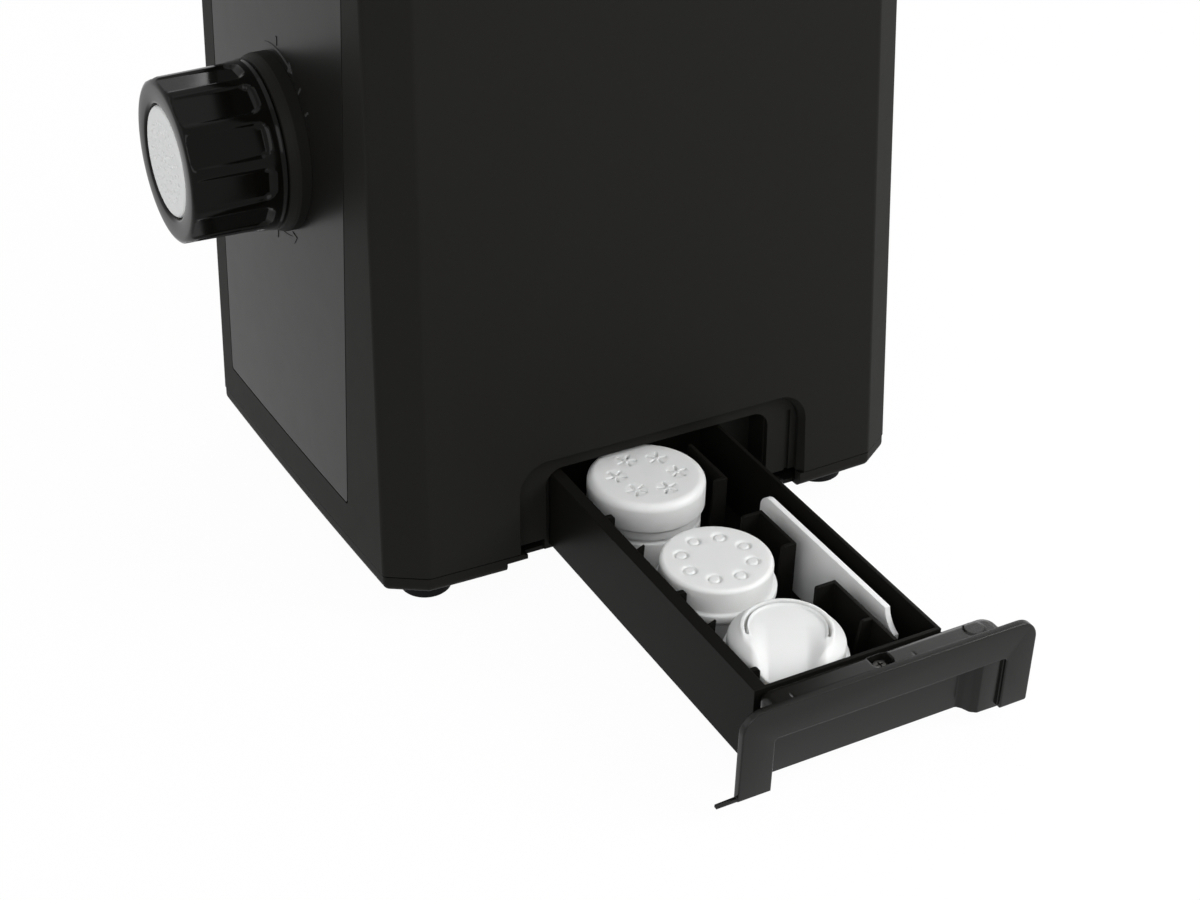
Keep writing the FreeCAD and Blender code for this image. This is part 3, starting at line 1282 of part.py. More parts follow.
def drawer_front():
    front = drawer_front_x
    back = front - flange_thick
    flange = plate_x([(flange_left, drawer_bottom, 1.2), (flange_right, drawer_bottom, 1.2),
                      (flange_right, flange_top, flange_round), (flange_left, flange_top, flange_round)], back, front)
    flange = flange.makeFillet(flange_edge, [e for e in flange.Edges if all(abs(v.Point.x - front) < 0.01 for v in e.Vertexes)])
    top = drawer_top + 0.4
    shelf = plate_z([(shelf_back_x + 0.05, drawer_left, 5.5), (back + 0.5, drawer_left, 0.1), (back + 0.5, shelf_right, 0.1),
                     (shelf_back_x + 0.05, shelf_right, 6.5)], grip_top - 1.6, top)
    upper = [edge for edge in rim_edges(shelf, top) if not all(v.Point.x > back + 0.3 for v in edge.Vertexes)]
    shelf = shelf.makeFillet(2.6, upper)
    skirt = box(tray_front_x + 0.05, back + 0.5, drawer_left, shelf_right, drawer_bottom, grip_top)
    skirt = skirt.makeFillet(5.4, [e for e in skirt.Edges if all(v.Point.x < tray_front_x + 1 for v in e.Vertexes)
                                   and abs(e.Vertexes[0].Point.z - e.Vertexes[1].Point.z) > 5])
    whole = join([flange, shelf, skirt])
    wall = pocket_wall_x
    pocket = [(wall, grip_left), (front + 1, grip_left), (front + 1, grip_right), (front - 1.8, grip_right),
              (front - 2.0, grip_right - 10.0), (front - 3.2, grip_right - 11.4), (front - 5.2, grip_right - 12.7),
              (wall + 1.4, grip_right - 13.7), (wall, grip_right - 14.0)]
    ring = [vec(x, y, drawer_bottom - 1) for x, y in pocket]
    grip = Part.Face(Part.makePolygon(ring + ring[:1])).extrude(vec(0, 0, grip_top - drawer_bottom + 1))
    whole = whole.cut(grip)
    ledge = box(back + 0.8, front - 0.6, flange_left - ledge_reach, flange_left + 1.0, drawer_bottom, drawer_bottom + 1.6)
    hump = rod_z(4.6, back - 6.6, shelf_right - 11.0, top - 3.0, top + 0.4)
    hump = hump.makeFillet(0.35, rim_edges(hump, top + 0.4))
    whole = join([whole, ledge, hump])
    screw_pocket = box(shelf_back_x + 2.0, shelf_back_x + 9.0, -2.5, 6.5, top - 4.0, top + 2)
    whole = cut(whole, [screw_pocket, rod_z(1.4, shelf_back_x + 5.5, 2.0, top - 14, top)])
    return level_to_sag(whole.removeSplitter())


def drawer_screw():
    top = drawer_top + 0.4
    screw = pan_screw(shelf_back_x + 5.5, 2.0, top - 4.0, 8.0, 1.35, -1)
    return level_to_sag(screw)


def row_shift():
    """The step that puts the origin under the middle of the whole part's box."""
    sag = math.radians(drawer_sag)
    left = -(body_width / 2 + side_bow)
    edge_x = drawer_front_x - flange_edge - drawer_pivot_x
    edge_z = flange_top - flange_edge - drawer_pivot_height
    right = drawer_pivot_x + edge_x * math.cos(sag) + edge_z * math.sin(sag) + flange_edge
    back = rear_face_y(gland_height) + rear_bulge(gland_x) + gland_length
    return vec(-(left + right) / 2, -(back - nut_front) / 2, 0)


def pieces():
    made = {
        "base_tray": base_tray(), "feet": feet(), "foot_screws": foot_screws(), "base_screws": base_screws(),
        "outer_housing": outer_housing(), "front_panel": front_panel(), "drawer_bay": drawer_bay(),
        "outlet_collar": outlet_collar(), "lock_marks": lock_marks(), "top_deck": top_deck(),
        "display_window": display_window(), "display_module": display_module(), "control_board": control_board(),
        "mixing_chamber": mixing_chamber(), "chamber_seal": chamber_seal(), "extruder_barrel": extruder_barrel(),
        "spaghetti_die": spaghetti_die(), "locking_nut": locking_nut(), "auger": auger(), "mixing_paddle": mixing_paddle(),
        "output_shaft": output_shaft(), "output_gear": output_gear(), "stage_pinion": stage_pinion(), "stage_gear": stage_gear(),
        "motor_pinion": motor_pinion(), "gearbox_case": gearbox_case(), "gearbox_cover": gearbox_cover(),
        "gearbox_screws": gearbox_screws(), "front_bush": bush(gearbox_front, gear_plane - 1.2),
        "rear_bush": bush(gearbox_front + gearbox_depth - 8, gearbox_front + gearbox_depth + 1.1), "stage_axle": stage_axle(),
        "motor_case": motor_case(), "stator_core": stator_core(), "motor_end_cap": motor_end_cap(), "motor_shaft": motor_shaft(),
        "rotor_core": rotor_core(), "cooling_fan": cooling_fan(), "motor_screws": motor_screws(), "lid_frame": lid_frame(),
        "lid_window": lid_window(), "lid_magnet": lid_magnet(), "lid_sensor": lid_sensor(), "hinge_pins": hinge_pins(),
        "cord_gland": cord_gland(), "switch_body": switch_body(), "power_rocker": power_rocker(), "power_board": power_board(),
        "drawer_tray": drawer_tray(), "divider": divider(), "cleaning_tool": cleaning_tool(), "drawer_front": drawer_front(),
        "drawer_screw": drawer_screw(), "star_die": stand_die(star_die(), wide_die_x, wide_die_y),
        "ring_die": stand_die(ring_die(), ring_die_x, die_lane_y), "sheet_die": stand_die(sheet_die(), sheet_die_x, die_lane_y),
    }
    for name, x in zip(("power_button", "start_button", "less_button", "more_button"), button_rows):
        made[name] = button(x)
    return made


def save():
    os.makedirs("parts", exist_ok=True)
    step = row_shift()
    for name, shape in pieces().items():
        shape.translate(step)
        shape.exportStep("parts/" + name + ".step")


save()
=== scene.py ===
"""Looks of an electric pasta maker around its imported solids: finishes, small fittings, light and camera."""
import json
import math

import bmesh
import bpy
from mathutils import Matrix, Vector


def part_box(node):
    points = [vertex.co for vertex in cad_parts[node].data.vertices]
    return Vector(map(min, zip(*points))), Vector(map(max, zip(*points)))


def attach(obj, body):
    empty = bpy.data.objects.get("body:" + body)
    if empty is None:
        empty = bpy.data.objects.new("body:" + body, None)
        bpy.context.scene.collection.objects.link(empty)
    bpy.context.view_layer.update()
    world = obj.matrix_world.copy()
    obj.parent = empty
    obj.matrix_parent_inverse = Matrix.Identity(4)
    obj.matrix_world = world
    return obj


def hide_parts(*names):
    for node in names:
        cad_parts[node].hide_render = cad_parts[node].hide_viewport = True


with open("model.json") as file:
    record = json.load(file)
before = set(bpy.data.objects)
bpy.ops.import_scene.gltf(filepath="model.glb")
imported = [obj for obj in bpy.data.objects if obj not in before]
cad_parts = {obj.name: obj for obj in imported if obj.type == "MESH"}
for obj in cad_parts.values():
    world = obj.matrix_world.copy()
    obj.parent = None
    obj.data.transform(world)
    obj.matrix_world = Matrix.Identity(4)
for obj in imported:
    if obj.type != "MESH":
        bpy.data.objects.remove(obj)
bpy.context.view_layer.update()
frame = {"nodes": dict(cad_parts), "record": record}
mm = 0.001
full_turn = 2 * math.pi

# The feet stand evenly about the middle of the housing, which is where lengths in mm are counted from.
feet_low, feet_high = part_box("feet")
housing_middle = (feet_low + feet_high) / 2


def at(x, y, z):
    """A point counted in millimetres from under the middle of the housing."""
    return Vector((housing_middle.x + x * mm, housing_middle.y + y * mm, z * mm))


# Camera, on the line of sight of the photograph; lens and sensor in mm, what it can see in metres.
camera_place = at(802.49, -408.86, 519.58)
camera_azimuth = math.radians(61.4)
camera_elevation = math.radians(30.05)
camera_lens = 64.466
camera_sensor = 36.0
nearest_seen = 0.01
farthest_seen = 50.0


def make_camera():
    camera_data = bpy.data.cameras.new("camera")
    camera = bpy.data.objects.new("camera", camera_data)
    bpy.context.scene.collection.objects.link(camera)
    back = Vector((math.sin(camera_azimuth) * math.cos(camera_elevation),
                   -math.cos(camera_azimuth) * math.cos(camera_elevation),
                   math.sin(camera_elevation)))
    camera.location = camera_place
    camera.rotation_euler = (-back).to_track_quat("-Z", "Y").to_euler()
    camera_data.sensor_width = camera_sensor
    camera_data.lens = camera_lens
    camera_data.clip_start = nearest_seen
    camera_data.clip_end = farthest_seen
    bpy.context.scene.camera = camera


# The moulded surface, shared by every finish. Depths and radii are in metres.
no_grain = 0.0
fine_grain = 0.00001
plain_grain = 0.00002
deep_grain = 0.00003
plain_edge = 0.0004
moulded_inputs = {"Color": (0.5, 0.5, 0.5, 1), "Tone change": 0.1, "Roughness": 0.4, "Roughness change": 0.06,
                  "Grain per metre": 2200.0, "Grain depth": plain_grain, "Edge radius": plain_edge}
moulded_outputs = {"Color": "NodeSocketColor", "Roughness": "NodeSocketFloat", "Normal": "NodeSocketVector"}
slow_noise = {"Scale": 14.0, "Detail": 3.0, "Roughness": 0.55}
rub_noise = {"Scale": 95.0, "Detail": 4.0, "Roughness": 0.6}
grain_noise = {"Detail": 2.0, "Roughness": 0.5}
noise_middle = 0.5
edge_samples = 4


def add_node(tree, kind, **values):
    """A node with its properties and inputs set; a name with an underscore for each space is an input."""
    node = tree.nodes.new(kind)
    for name, value in values.items():
        if hasattr(node, name):
            setattr(node, name, value)
        else:
            node.inputs[name.replace("_", " ")].default_value = value
    return node


def add_group_sockets(group, inputs, outputs):
    for name, value in inputs.items():
        kind = "NodeSocketColor" if name == "Color" else "NodeSocketFloat"
        socket = group.interface.new_socket(name=name, in_out="INPUT", socket_type=kind)
        socket.default_value = value
    for name, kind in outputs.items():
        group.interface.new_socket(name=name, in_out="OUTPUT", socket_type=kind)


def add_noise(tree, place, **values):
    """A noise laid out in the piece's own space."""
    noise = add_node(tree, "ShaderNodeTexNoise", **values)
    tree.links.new(place.outputs["Object"], noise.inputs["Vector"])
    return noise


def add_swing(tree, noise, amount):
    """A noise taken about zero, times an amount; the last input of the node is what it swings about."""
    centred = add_node(tree, "ShaderNodeMath", operation="SUBTRACT")
    tree.links.new(noise.outputs["Fac"], centred.inputs[0])
    centred.inputs[1].default_value = noise_middle
    swing = add_node(tree, "ShaderNodeMath", operation="MULTIPLY_ADD")
    tree.links.new(centred.outputs[0], swing.inputs[0])
    tree.links.new(amount, swing.inputs[1])
    return swing


def add_moulded_normal(tree, given, place):
    """Softened edges with a fine spark-eroded grain on them."""
    grain = add_noise(tree, place, **grain_noise)
    tree.links.new(given["Grain per metre"], grain.inputs["Scale"])
    edge = add_node(tree, "ShaderNodeBevel", samples=edge_samples)
    tree.links.new(given["Edge radius"], edge.inputs["Radius"])
    bump = add_node(tree, "ShaderNodeBump", Strength=1.0)
    tree.links.new(given["Grain depth"], bump.inputs["Distance"])
    tree.links.new(grain.outputs["Fac"], bump.inputs["Height"])
    tree.links.new(edge.outputs["Normal"], bump.inputs["Normal"])
    return bump.outputs["Normal"]


def make_moulded_group():
    """Moulded plastic: slow tone changes, fine spark-eroded grain, rubbed spots and softened edges."""
    group = bpy.data.node_groups.new("moulded surface", "ShaderNodeTree")
    add_group_sockets(group, moulded_inputs, moulded_outputs)
    given = group.nodes.new("NodeGroupInput").outputs
    result = group.nodes.new("NodeGroupOutput").inputs
    place = group.nodes.new("ShaderNodeTexCoord")
    link = group.links.new
    tone = add_swing(group, add_noise(group, place, **slow_noise), given["Tone change"])
    tone.inputs[2].default_value = 1.0
    colour = add_node(group, "ShaderNodeVectorMath", operation="SCALE")
    link(given["Color"], colour.inputs[0])
    link(tone.outputs[0], colour.inputs["Scale"])
    link(colour.outputs[0], result["Color"])
    rough = add_swing(group, add_noise(group, place, **rub_noise), given["Roughness change"])
    rough.use_clamp = True
    link(given["Roughness"], rough.inputs[2])
    link(rough.outputs[0], result["Roughness"])
    link(add_moulded_normal(group, given, place), result["Normal"])
    return group


moulded = make_moulded_group()
finishes = {}
light_reach = 0.006                 # how far light wanders in white plastic, in metres
light_tint = (1.0, 0.95, 0.9)


def finish(slot, colour, roughness, grain=plain_grain, specular=0.5, tone_change=0.1, edge=plain_edge,
           metallic=0.0, transmission=0.0, subsurface=0.0):
    """Makes the finish of a slot from the moulded surface, with the slot's own plain values."""
    material = bpy.data.materials.new(slot.replace("_", " "))
    material.use_nodes = True
    tree = material.node_tree
    shader = tree.nodes["Principled BSDF"]
    surface = tree.nodes.new("ShaderNodeGroup")
    surface.node_tree = moulded
    moulding = {"Color": (*colour, 1.0), "Tone change": tone_change, "Roughness": roughness,
                "Grain depth": grain, "Edge radius": edge}
    for socket, value in moulding.items():
        surface.inputs[socket].default_value = value
    for made, wanted in (("Color", "Base Color"), ("Roughness", "Roughness"), ("Normal", "Normal")):
        tree.links.new(surface.outputs[made], shader.inputs[wanted])
    plain = {"Specular IOR Level": specular, "Metallic": metallic, "Transmission Weight": transmission,
             "Subsurface Weight": subsurface, "Subsurface Scale": light_reach,
             "Subsurface Radius": light_tint}
    for socket, value in plain.items():
        shader.inputs[socket].default_value = value
    finishes[slot] = material


# Outside of the machine.
finish("housing_black", (0.011, 0.0108, 0.0098), 0.5, grain=deep_grain, specular=0.035)
finish("panel_grey", (0.0085, 0.0083, 0.0076), 0.32, grain=fine_grain, specular=0.1)
finish("gloss_black", (0.0022, 0.002, 0.0016), 0.09, grain=no_grain, specular=0.1, edge=0.0005)
finish("base_black", (0.0085, 0.0083, 0.0074), 0.5, specular=0.05)
finish("foot_rubber", (0.008, 0.008, 0.008), 0.7, specular=0.08)
finish("mark_grey", (0.034, 0.034, 0.033), 0.5, specular=0.2, edge=0.0)
finish("clear_lid", (0.42, 0.44, 0.46), 0.05, grain=no_grain, transmission=0.95)
finish("display_glass", (0.004, 0.005, 0.008), 0.06, grain=no_grain, specular=0.3)
finish("button_silver", (0.5, 0.51, 0.53), 0.32, metallic=0.85)
# The drawer and what lies in it.
finish("die_white", (0.68, 0.685, 0.675), 0.4, grain=fine_grain, specular=0.3, subsurface=0.45,
       tone_change=0.02, edge=0.0007)
finish("tool_white", (0.74, 0.745, 0.735), 0.42, specular=0.3, subsurface=0.3, tone_change=0.02, edge=0.0006)
finish("drawer_black", (0.006, 0.0058, 0.0052), 0.2, grain=fine_grain, specular=0.22, edge=0.0006)
finish("tray_black", (0.0068, 0.0066, 0.0058), 0.36, grain=fine_grain, specular=0.025, edge=0.0006)
finish("blackened_screw", (0.05, 0.049, 0.046), 0.3, grain=no_grain, metallic=1.0, edge=0.0002)
# Inside of the machine.
finish("inner_grey", (0.2, 0.2, 0.21), 0.5)
finish("board_green", (0.02, 0.12, 0.045), 0.5)
finish("component_black", (0.012, 0.012, 0.012), 0.5, specular=0.2)
finish("screw_steel", (0.2, 0.2, 0.21), 0.35, metallic=1.0)
finish("shaft_steel", (0.55, 0.55, 0.56), 0.22, metallic=1.0)
finish("gear_nylon", (0.72, 0.7, 0.62), 0.45, subsurface=0.1)
finish("pinion_steel", (0.4, 0.4, 0.41), 0.35, metallic=1.0)
finish("gearbox_alloy", (0.45, 0.46, 0.47), 0.5, metallic=1.0)
finish("bush_brass", (0.6, 0.4, 0.14), 0.35, metallic=1.0)
finish("motor_steel", (0.32, 0.32, 0.33), 0.4, metallic=1.0)
finish("core_iron", (0.1, 0.1, 0.1), 0.55, metallic=0.8)
finish("winding_copper", (0.55, 0.22, 0.08), 0.35, metallic=1.0)
finish("seal_silicone", (0.55, 0.55, 0.54), 0.55)
finish("magnet_grey", (0.12, 0.12, 0.12), 0.4, metallic=0.8)
# Pieces that look other than the rest of their slot: the tray is duller than the front, its screw darker.
special_finishes = {"drawer_tray": "tray_black", "divider": "tray_black", "drawer_screw": "blackened_screw"}


def dress_solids():
    """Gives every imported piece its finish."""
    for subpart in frame["record"]["subparts"]:
        piece = frame["nodes"][subpart["node"]]
        if not piece.material_slots:
            piece.data.materials.append(None)
        for holder in piece.material_slots:
            holder.material = finishes[special_finishes.get(subpart["node"], subpart["material_slot"])]


# Pieces made here. Points of a mesh nearer than the weld, in mm, become one.
flat_face = 30.0 * mm * mm          # faces larger than this are shaded flat
sharp_edge = math.radians(40.0)
nut_weld = 0.02
fine_weld = 0.003
sign_weld = 0.001


def body_of(node):
    """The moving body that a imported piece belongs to."""
    for body, nodes in frame["record"]["behaviour"]["bodies"].items():
        if node in nodes:
            return body
    raise ValueError(node)


def new_piece(name, mesh, body, slot, weld):
    """Turns a finished bmesh into a piece on a body, in a slot's finish."""
    bmesh.ops.remove_doubles(mesh, verts=mesh.verts, dist=weld * mm)
    bmesh.ops.recalc_face_normals(mesh, faces=mesh.faces)
    data = bpy.data.meshes.new(name)
    mesh.to_mesh(data)
    mesh.free()
    for face in data.polygons:
        face.use_smooth = face.area < flat_face
    data.set_sharp_from_angle(angle=sharp_edge)
    piece = bpy.data.objects.new(name, data)
    bpy.context.scene.collection.objects.link(piece)
    data.materials.append(finishes[slot])
    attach(piece, body)
    return piece


def smooth_step(value):
    value = min(max(value, 0.0), 1.0)
    return value * value * (3.0 - 2.0 * value)


# The locking nut. Its back corners are counted out from its radius and along from its back, and those of its
# mouth out from its lip and along from its nose.
nut_low, nut_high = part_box("locking_nut")
nut_axis = (nut_low + nut_high) / 2
nut_radius = (nut_high.x - nut_low.x) / 2 / mm
nut_length = (nut_high.y - nut_low.y) / mm
nut_bore = 28.0
nut_lip = 23.7
nut_lip_length = 11.2
nut_back_corners = ((-0.3, 0.0), (0.0, 0.3), (0.0, 1.3), (-0.4, 1.9))
nut_mouth_corners = ((1.8, 0.0), (0.7, -0.25), (0.0, -1.1))
side_step = 0.4                     # the fluted side starts this much inside the rim at the back
side_start = 2.4
side_rings = 34
nose_shrink = 1.2                   # the nose is this much narrower than the base
nose_round = 3.2
nose_steps = 8
# Its flutes.
flute_count = 12
flute_turn = math.radians(5.0)
flute_floor = 33.5
flute_half = 6.8
flute_start = 6.5
flute_corner = 3.5
flute_blend = 1.1
steps_per_flute = 36
unpressed_back = 2.2                # nothing nearer to the back than this is pressed in
unpressed_wall = 1.0                # nor anything nearer to the bore


def nut_point(radius, along):
    """A point of the nut's section: radius from its axis and distance from its back, in millimetres."""
    return Vector((nut_axis.x, nut_high.y - along * mm, nut_axis.z + radius * mm))


def nut_section():
    """Corners of the turned section, from the back of the bore round the outside and through the bore."""
    side_radius = nut_radius - side_step
    nose_radius = nut_radius - nose_shrink
    side_end = nut_length - nose_round
    points = [(nut_bore, 0.0)] + [(nut_radius + out, along) for out, along in nut_back_corners]
    for i in range(side_rings + 1):
        share = i / side_rings
        points.append((side_radius + (nose_radius - nut_radius + side_step) * share,
                       side_start + (side_end - side_start) * share))
    for i in range(1, nose_steps + 1):
        angle = math.radians(90.0 * i / nose_steps)
        points.append((nose_radius - nose_round * (1 - math.cos(angle)),
                       side_end + nose_round * math.sin(angle)))
    points += [(nut_lip + out, nut_length + along) for out, along in nut_mouth_corners]
    points += [(nut_lip, nut_length - nut_lip_length), (nut_bore, nut_length - nut_lip_length)]
    return points


def flute_depth_share(across, along):
    """1 on a flute's floor, 0 on the ridges, with round ends towards the back and soft sides."""
    side = abs(across) - (flute_half - flute_corner)
    end = (flute_start + flute_corner) - along
    outside = math.hypot(max(side, 0.0), max(end, 0.0)) + min(max(side, end), 0.0) - flute_corner
    return smooth_step(0.5 - outside / flute_blend)


def press_flutes(mesh):
    pitch = full_turn / flute_count
    for vertex in mesh.verts:
        x = (vertex.co.x - nut_axis.x) / mm
        z = (vertex.co.z - nut_axis.z) / mm
        along = (nut_high.y - vertex.co.y) / mm
        radius = math.hypot(x, z)
        if radius < nut_bore + unpressed_wall or along < unpressed_back:
            continue
        turn = (math.atan2(x, z) - flute_turn + pitch / 2) % pitch - pitch / 2
        floor = flute_floor / math.cos(turn)
        share = flute_depth_share(radius * math.sin(turn), along)
        wanted = radius + (min(radius, floor) - radius) * share
        vertex.co.x = nut_axis.x + x * wanted / radius * mm
        vertex.co.z = nut_axis.z + z * wanted / radius * mm


def make_nut():
    """The locking nut: a turned ring with twelve flat finger hollows that run out through its round nose."""
    mesh = bmesh.new()
    points = [mesh.verts.new(nut_point(radius, along)) for radius, along in nut_section()]
    rim = [mesh.edges.new((points[i], points[(i + 1) % len(points)])) for i in range(len(points))]
    bmesh.ops.spin(mesh, geom=points + rim, cent=nut_axis, axis=(0, 1, 0), angle=full_turn,
                   steps=flute_count * steps_per_flute, use_merge=True)
    press_flutes(mesh)
    nut = new_piece("nut_shell", mesh, "nut", "gloss_black", nut_weld)
    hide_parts("locking_nut")


# The loose dies stand in the drawer, which sags a little about the housing's edge when it is out.
drawer_sag = math.radians(3.0)
drawer_pivot_x = 107.0
drawer_pivot_height = 31.5
tray_floor = 17.85
die_places = {"star_die": (117.9, -13.5), "ring_die": (184.07, -18.5), "sheet_die": (236.83, -18.5)}
lip_gap = 0.3                       # between the nut's lip and the die behind it
# Corners of the dies' sections: radius from the axis, height and rounding.
die_height = 34.0
die_flange = [(23.3, 23, 0.5), (25.2, 23, 0.9), (25.2, 19, 0.9), (19.5, 19, 0.3), (19.5, 16.6, 0.3),
              (20.7, 16, 0.3), (20.7, 0, 0.5), (17.5, 0, 0.5)]
plain_section = ([(0, die_height, 0), (23.3, die_height, 1.9)] + die_flange + [(17.5, 31, 0.3), (0, 31, 0)])
sheet_section = ([(0, die_height, 0), (18.6, die_height, 2.2), (23.3, 29.4, 2.8)] + die_flange
                 + [(17.5, 18, 0.3), (0, 18, 0)])
star_section = [(0, die_height, 0), (25.6, die_height, 3.6), (25.6, 20.6, 0.8), (24.2, 20.3, 0.1),
                (24.2, 15.9, 0.3), (23.2, 15.3, 0.2), (23.2, 14.3, 0.2), (24.2, 13.7, 0.3), (24.2, 0, 0.5),
                (19.2, 0, 0.5), (19.2, 31, 0.3), (0, 31, 0)]
arc_steps_per_mm = 3
fewest_arc_steps = 3
# A relief is pressed into the points above a height, and these points lie a step apart.
top_from = 33.0
trough_from = 22.9
relief_step = 0.3
turn_steps = 300


def sagged(x, y, z):
    """A point of the drawer, given as if it were level."""
    along = x - drawer_pivot_x
    up = z - drawer_pivot_height
    return at(drawer_pivot_x + along * math.cos(drawer_sag) + up * math.sin(drawer_sag), y,
              drawer_pivot_height - along * math.sin(drawer_sag) + up * math.cos(drawer_sag))


def rounded_section(corners):
    """Points of a section whose corners, each with its rounding, are rounded with arcs."""
    points = []
    for i, (x, z, rounding) in enumerate(corners):
        here = Vector((x, z))
        if rounding == 0 or i in (0, len(corners) - 1):
            points.append(here)
            continue
        before = (Vector(corners[i - 1][:2]) - here).normalized()
        after = (Vector(corners[i + 1][:2]) - here).normalized()
        half_angle = before.angle(after) / 2
        reach = rounding / math.tan(half_angle)
        centre = here + (before + after).normalized() * rounding / math.sin(half_angle)
        start = here + before * reach - centre
        sweep = start.angle_signed(here + after * reach - centre)
        arc_steps = max(fewest_arc_steps, round(rounding * arc_steps_per_mm))
        for k in range(arc_steps + 1):
            turn = Matrix.Rotation(-sweep * k / arc_steps, 2)
            points.append(centre + turn @ start)
    return points


def with_rings(points, lowest):
    """Adds points along the stretches above a height, for the relief pressed into them."""
    fine = [points[0]]
    for start, end in zip(points, points[1:]):
        count = 1
        if min(start.y, end.y) >= lowest:
            count = max(1, round((end - start).length / relief_step))
        fine += [start.lerp(end, (i + 1) / count) for i in range(count)]
    return fine


def in_drawer(name):
    """Where the points of a die in the drawer go."""
    middle_x, middle_y = die_places[name]
    return lambda x, y, z: sagged(middle_x + x, middle_y + y, tray_floor + z)


def in_nut(x, y, z):
    """Where the points of the die behind the nut's lip go: its face looks forwards."""
    return Vector((nut_axis.x + x * mm, nut_low.y + (lip_gap + die_height - z) * mm, nut_axis.z + y * mm))


def make_die(name, corners, relief, lowest, place):
    """A die turned from its section, its upper side pressed in by a relief, which gives the new heights."""
    mesh = bmesh.new()
    points = with_rings(rounded_section(corners), lowest)
    line = [mesh.verts.new((point.x, 0, point.y)) for point in points]
    edges = [mesh.edges.new(pair) for pair in zip(line, line[1:])]
    bmesh.ops.spin(mesh, geom=line + edges, cent=(0, 0, 0), axis=(0, 0, 1), angle=full_turn,
                   steps=turn_steps, use_merge=True)
    for vertex in mesh.verts:
        x, y, z = vertex.co
        if z > lowest:
            z = relief(x, y, z)
        vertex.co = place(x, y, z)
    piece = new_piece(name + "_shell", mesh, body_of(name), "die_white", fine_weld)
    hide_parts(name)


def pressed(distance, depth, softness):
    """How deep a hollow is at a distance outside its edge, with a soft wall."""
    return depth * (1.0 - smooth_step(distance / softness + 0.5))


# Ring die: round slots on a circle, each with a shallow moat around it. Angles are in degrees.
ring_count, ring_pitch, ring_first = 8, 45, 10
ring_orbit = 14.5
ring_reach = 5.0
ring_radius, ring_half, ring_depth, ring_soft = 2.5, 0.4, 0.65, 0.5
moat_radius, moat_depth, moat_soft = 3.6, 0.15, 1.0


def ring_relief(x, y, z):
    """Eight small rings, each with a shallow moat around it."""
    sunk = 0.0
    for i in range(ring_count):
        angle = math.radians(i * ring_pitch + ring_first)
        away = math.hypot(x - ring_orbit * math.cos(angle), y - ring_orbit * math.sin(angle))
        if away < ring_reach:
            sunk = (pressed(abs(away - ring_radius) - ring_half, ring_depth, ring_soft)
                    + pressed(away - moat_radius, moat_depth, moat_soft))
    return z - sunk


# Star die: rosettes on a circle, each with its legs in a shallow dish. Angles are in degrees.
rosette_count, rosette_pitch, rosette_first = 6, 60, 12
rosette_orbit = 13.3
rosette_reach = 5.6
dish_radius, dish_depth, dish_soft = 4.6, 0.15, 1.2
leg_count, leg_pitch, leg_first = 5, 72, 20
leg_start, leg_end = 1.5, 4.2
leg_half, leg_depth, leg_soft = 0.42, 1.7, 0.45


def star_relief(x, y, z):
    """Six rosettes of five short slots."""
    sunk = 0.0
    for i in range(rosette_count):
        turn = math.radians(i * rosette_pitch + rosette_first)
        across = x * math.cos(turn) + y * math.sin(turn) - rosette_orbit
        along = y * math.cos(turn) - x * math.sin(turn)
        if math.hypot(across, along) > rosette_reach:
            continue
        sunk += pressed(math.hypot(across, along) - dish_radius, dish_depth, dish_soft)
        for k in range(leg_count):
            leg = math.radians(k * leg_pitch + leg_first)
            out = across * math.cos(leg) + along * math.sin(leg)
            side = along * math.cos(leg) - across * math.sin(leg)
            beyond = max(leg_start - out, out - leg_end, 0.0)
            sunk = max(sunk, pressed(math.hypot(beyond, side) - leg_half, leg_depth, leg_soft))
    return z - sunk


# Spaghetti die: circles of holes, as radius and number.
hole_circles = ((0.0, 1), (4.2, 6), (8.4, 12), (12.4, 18), (16.2, 24))
hole_reach = 1.6
hole_radius, hole_depth, hole_soft = 0.75, 0.7, 0.5


def spaghetti_relief(x, y, z):
    """Circles of small round holes, each circle turned by its own radius in radians."""
    sunk = 0.0
    radius = math.hypot(x, y)
    for circle, count in hole_circles:
        if abs(radius - circle) > hole_reach:
            continue
        nearest = round((math.atan2(y, x) - circle) * count / full_turn)
        angle = full_turn * nearest / count + circle
        away = math.hypot(x - circle * math.cos(angle), y - circle * math.sin(angle))
        sunk = max(sunk, pressed(away - hole_radius, hole_depth, hole_soft))
    return z - sunk


# Sheet die: a raised C with a slot in it, open to one side, and a trough that runs out through the opening.
opening_turn = math.radians(-30.0)
opening_half, opening_blend = math.radians(72.0), math.radians(16.0)
c_radius, c_half, c_rise = 16.9, 1.2, 1.1
c_from = die_height - 3.0
slot_end = math.radians(75.0)
slot_radius, slot_half, slot_depth, slot_soft = 16.3, 0.42, 4.0, 0.4
trough_top = die_height - 0.5
trough_start, trough_curve, trough_lowest = -7.0, 0.0105, 23.2
trough_half, trough_soft = 7.0, 8.0
trough_fade_start, trough_fade = -9.0, 9.0


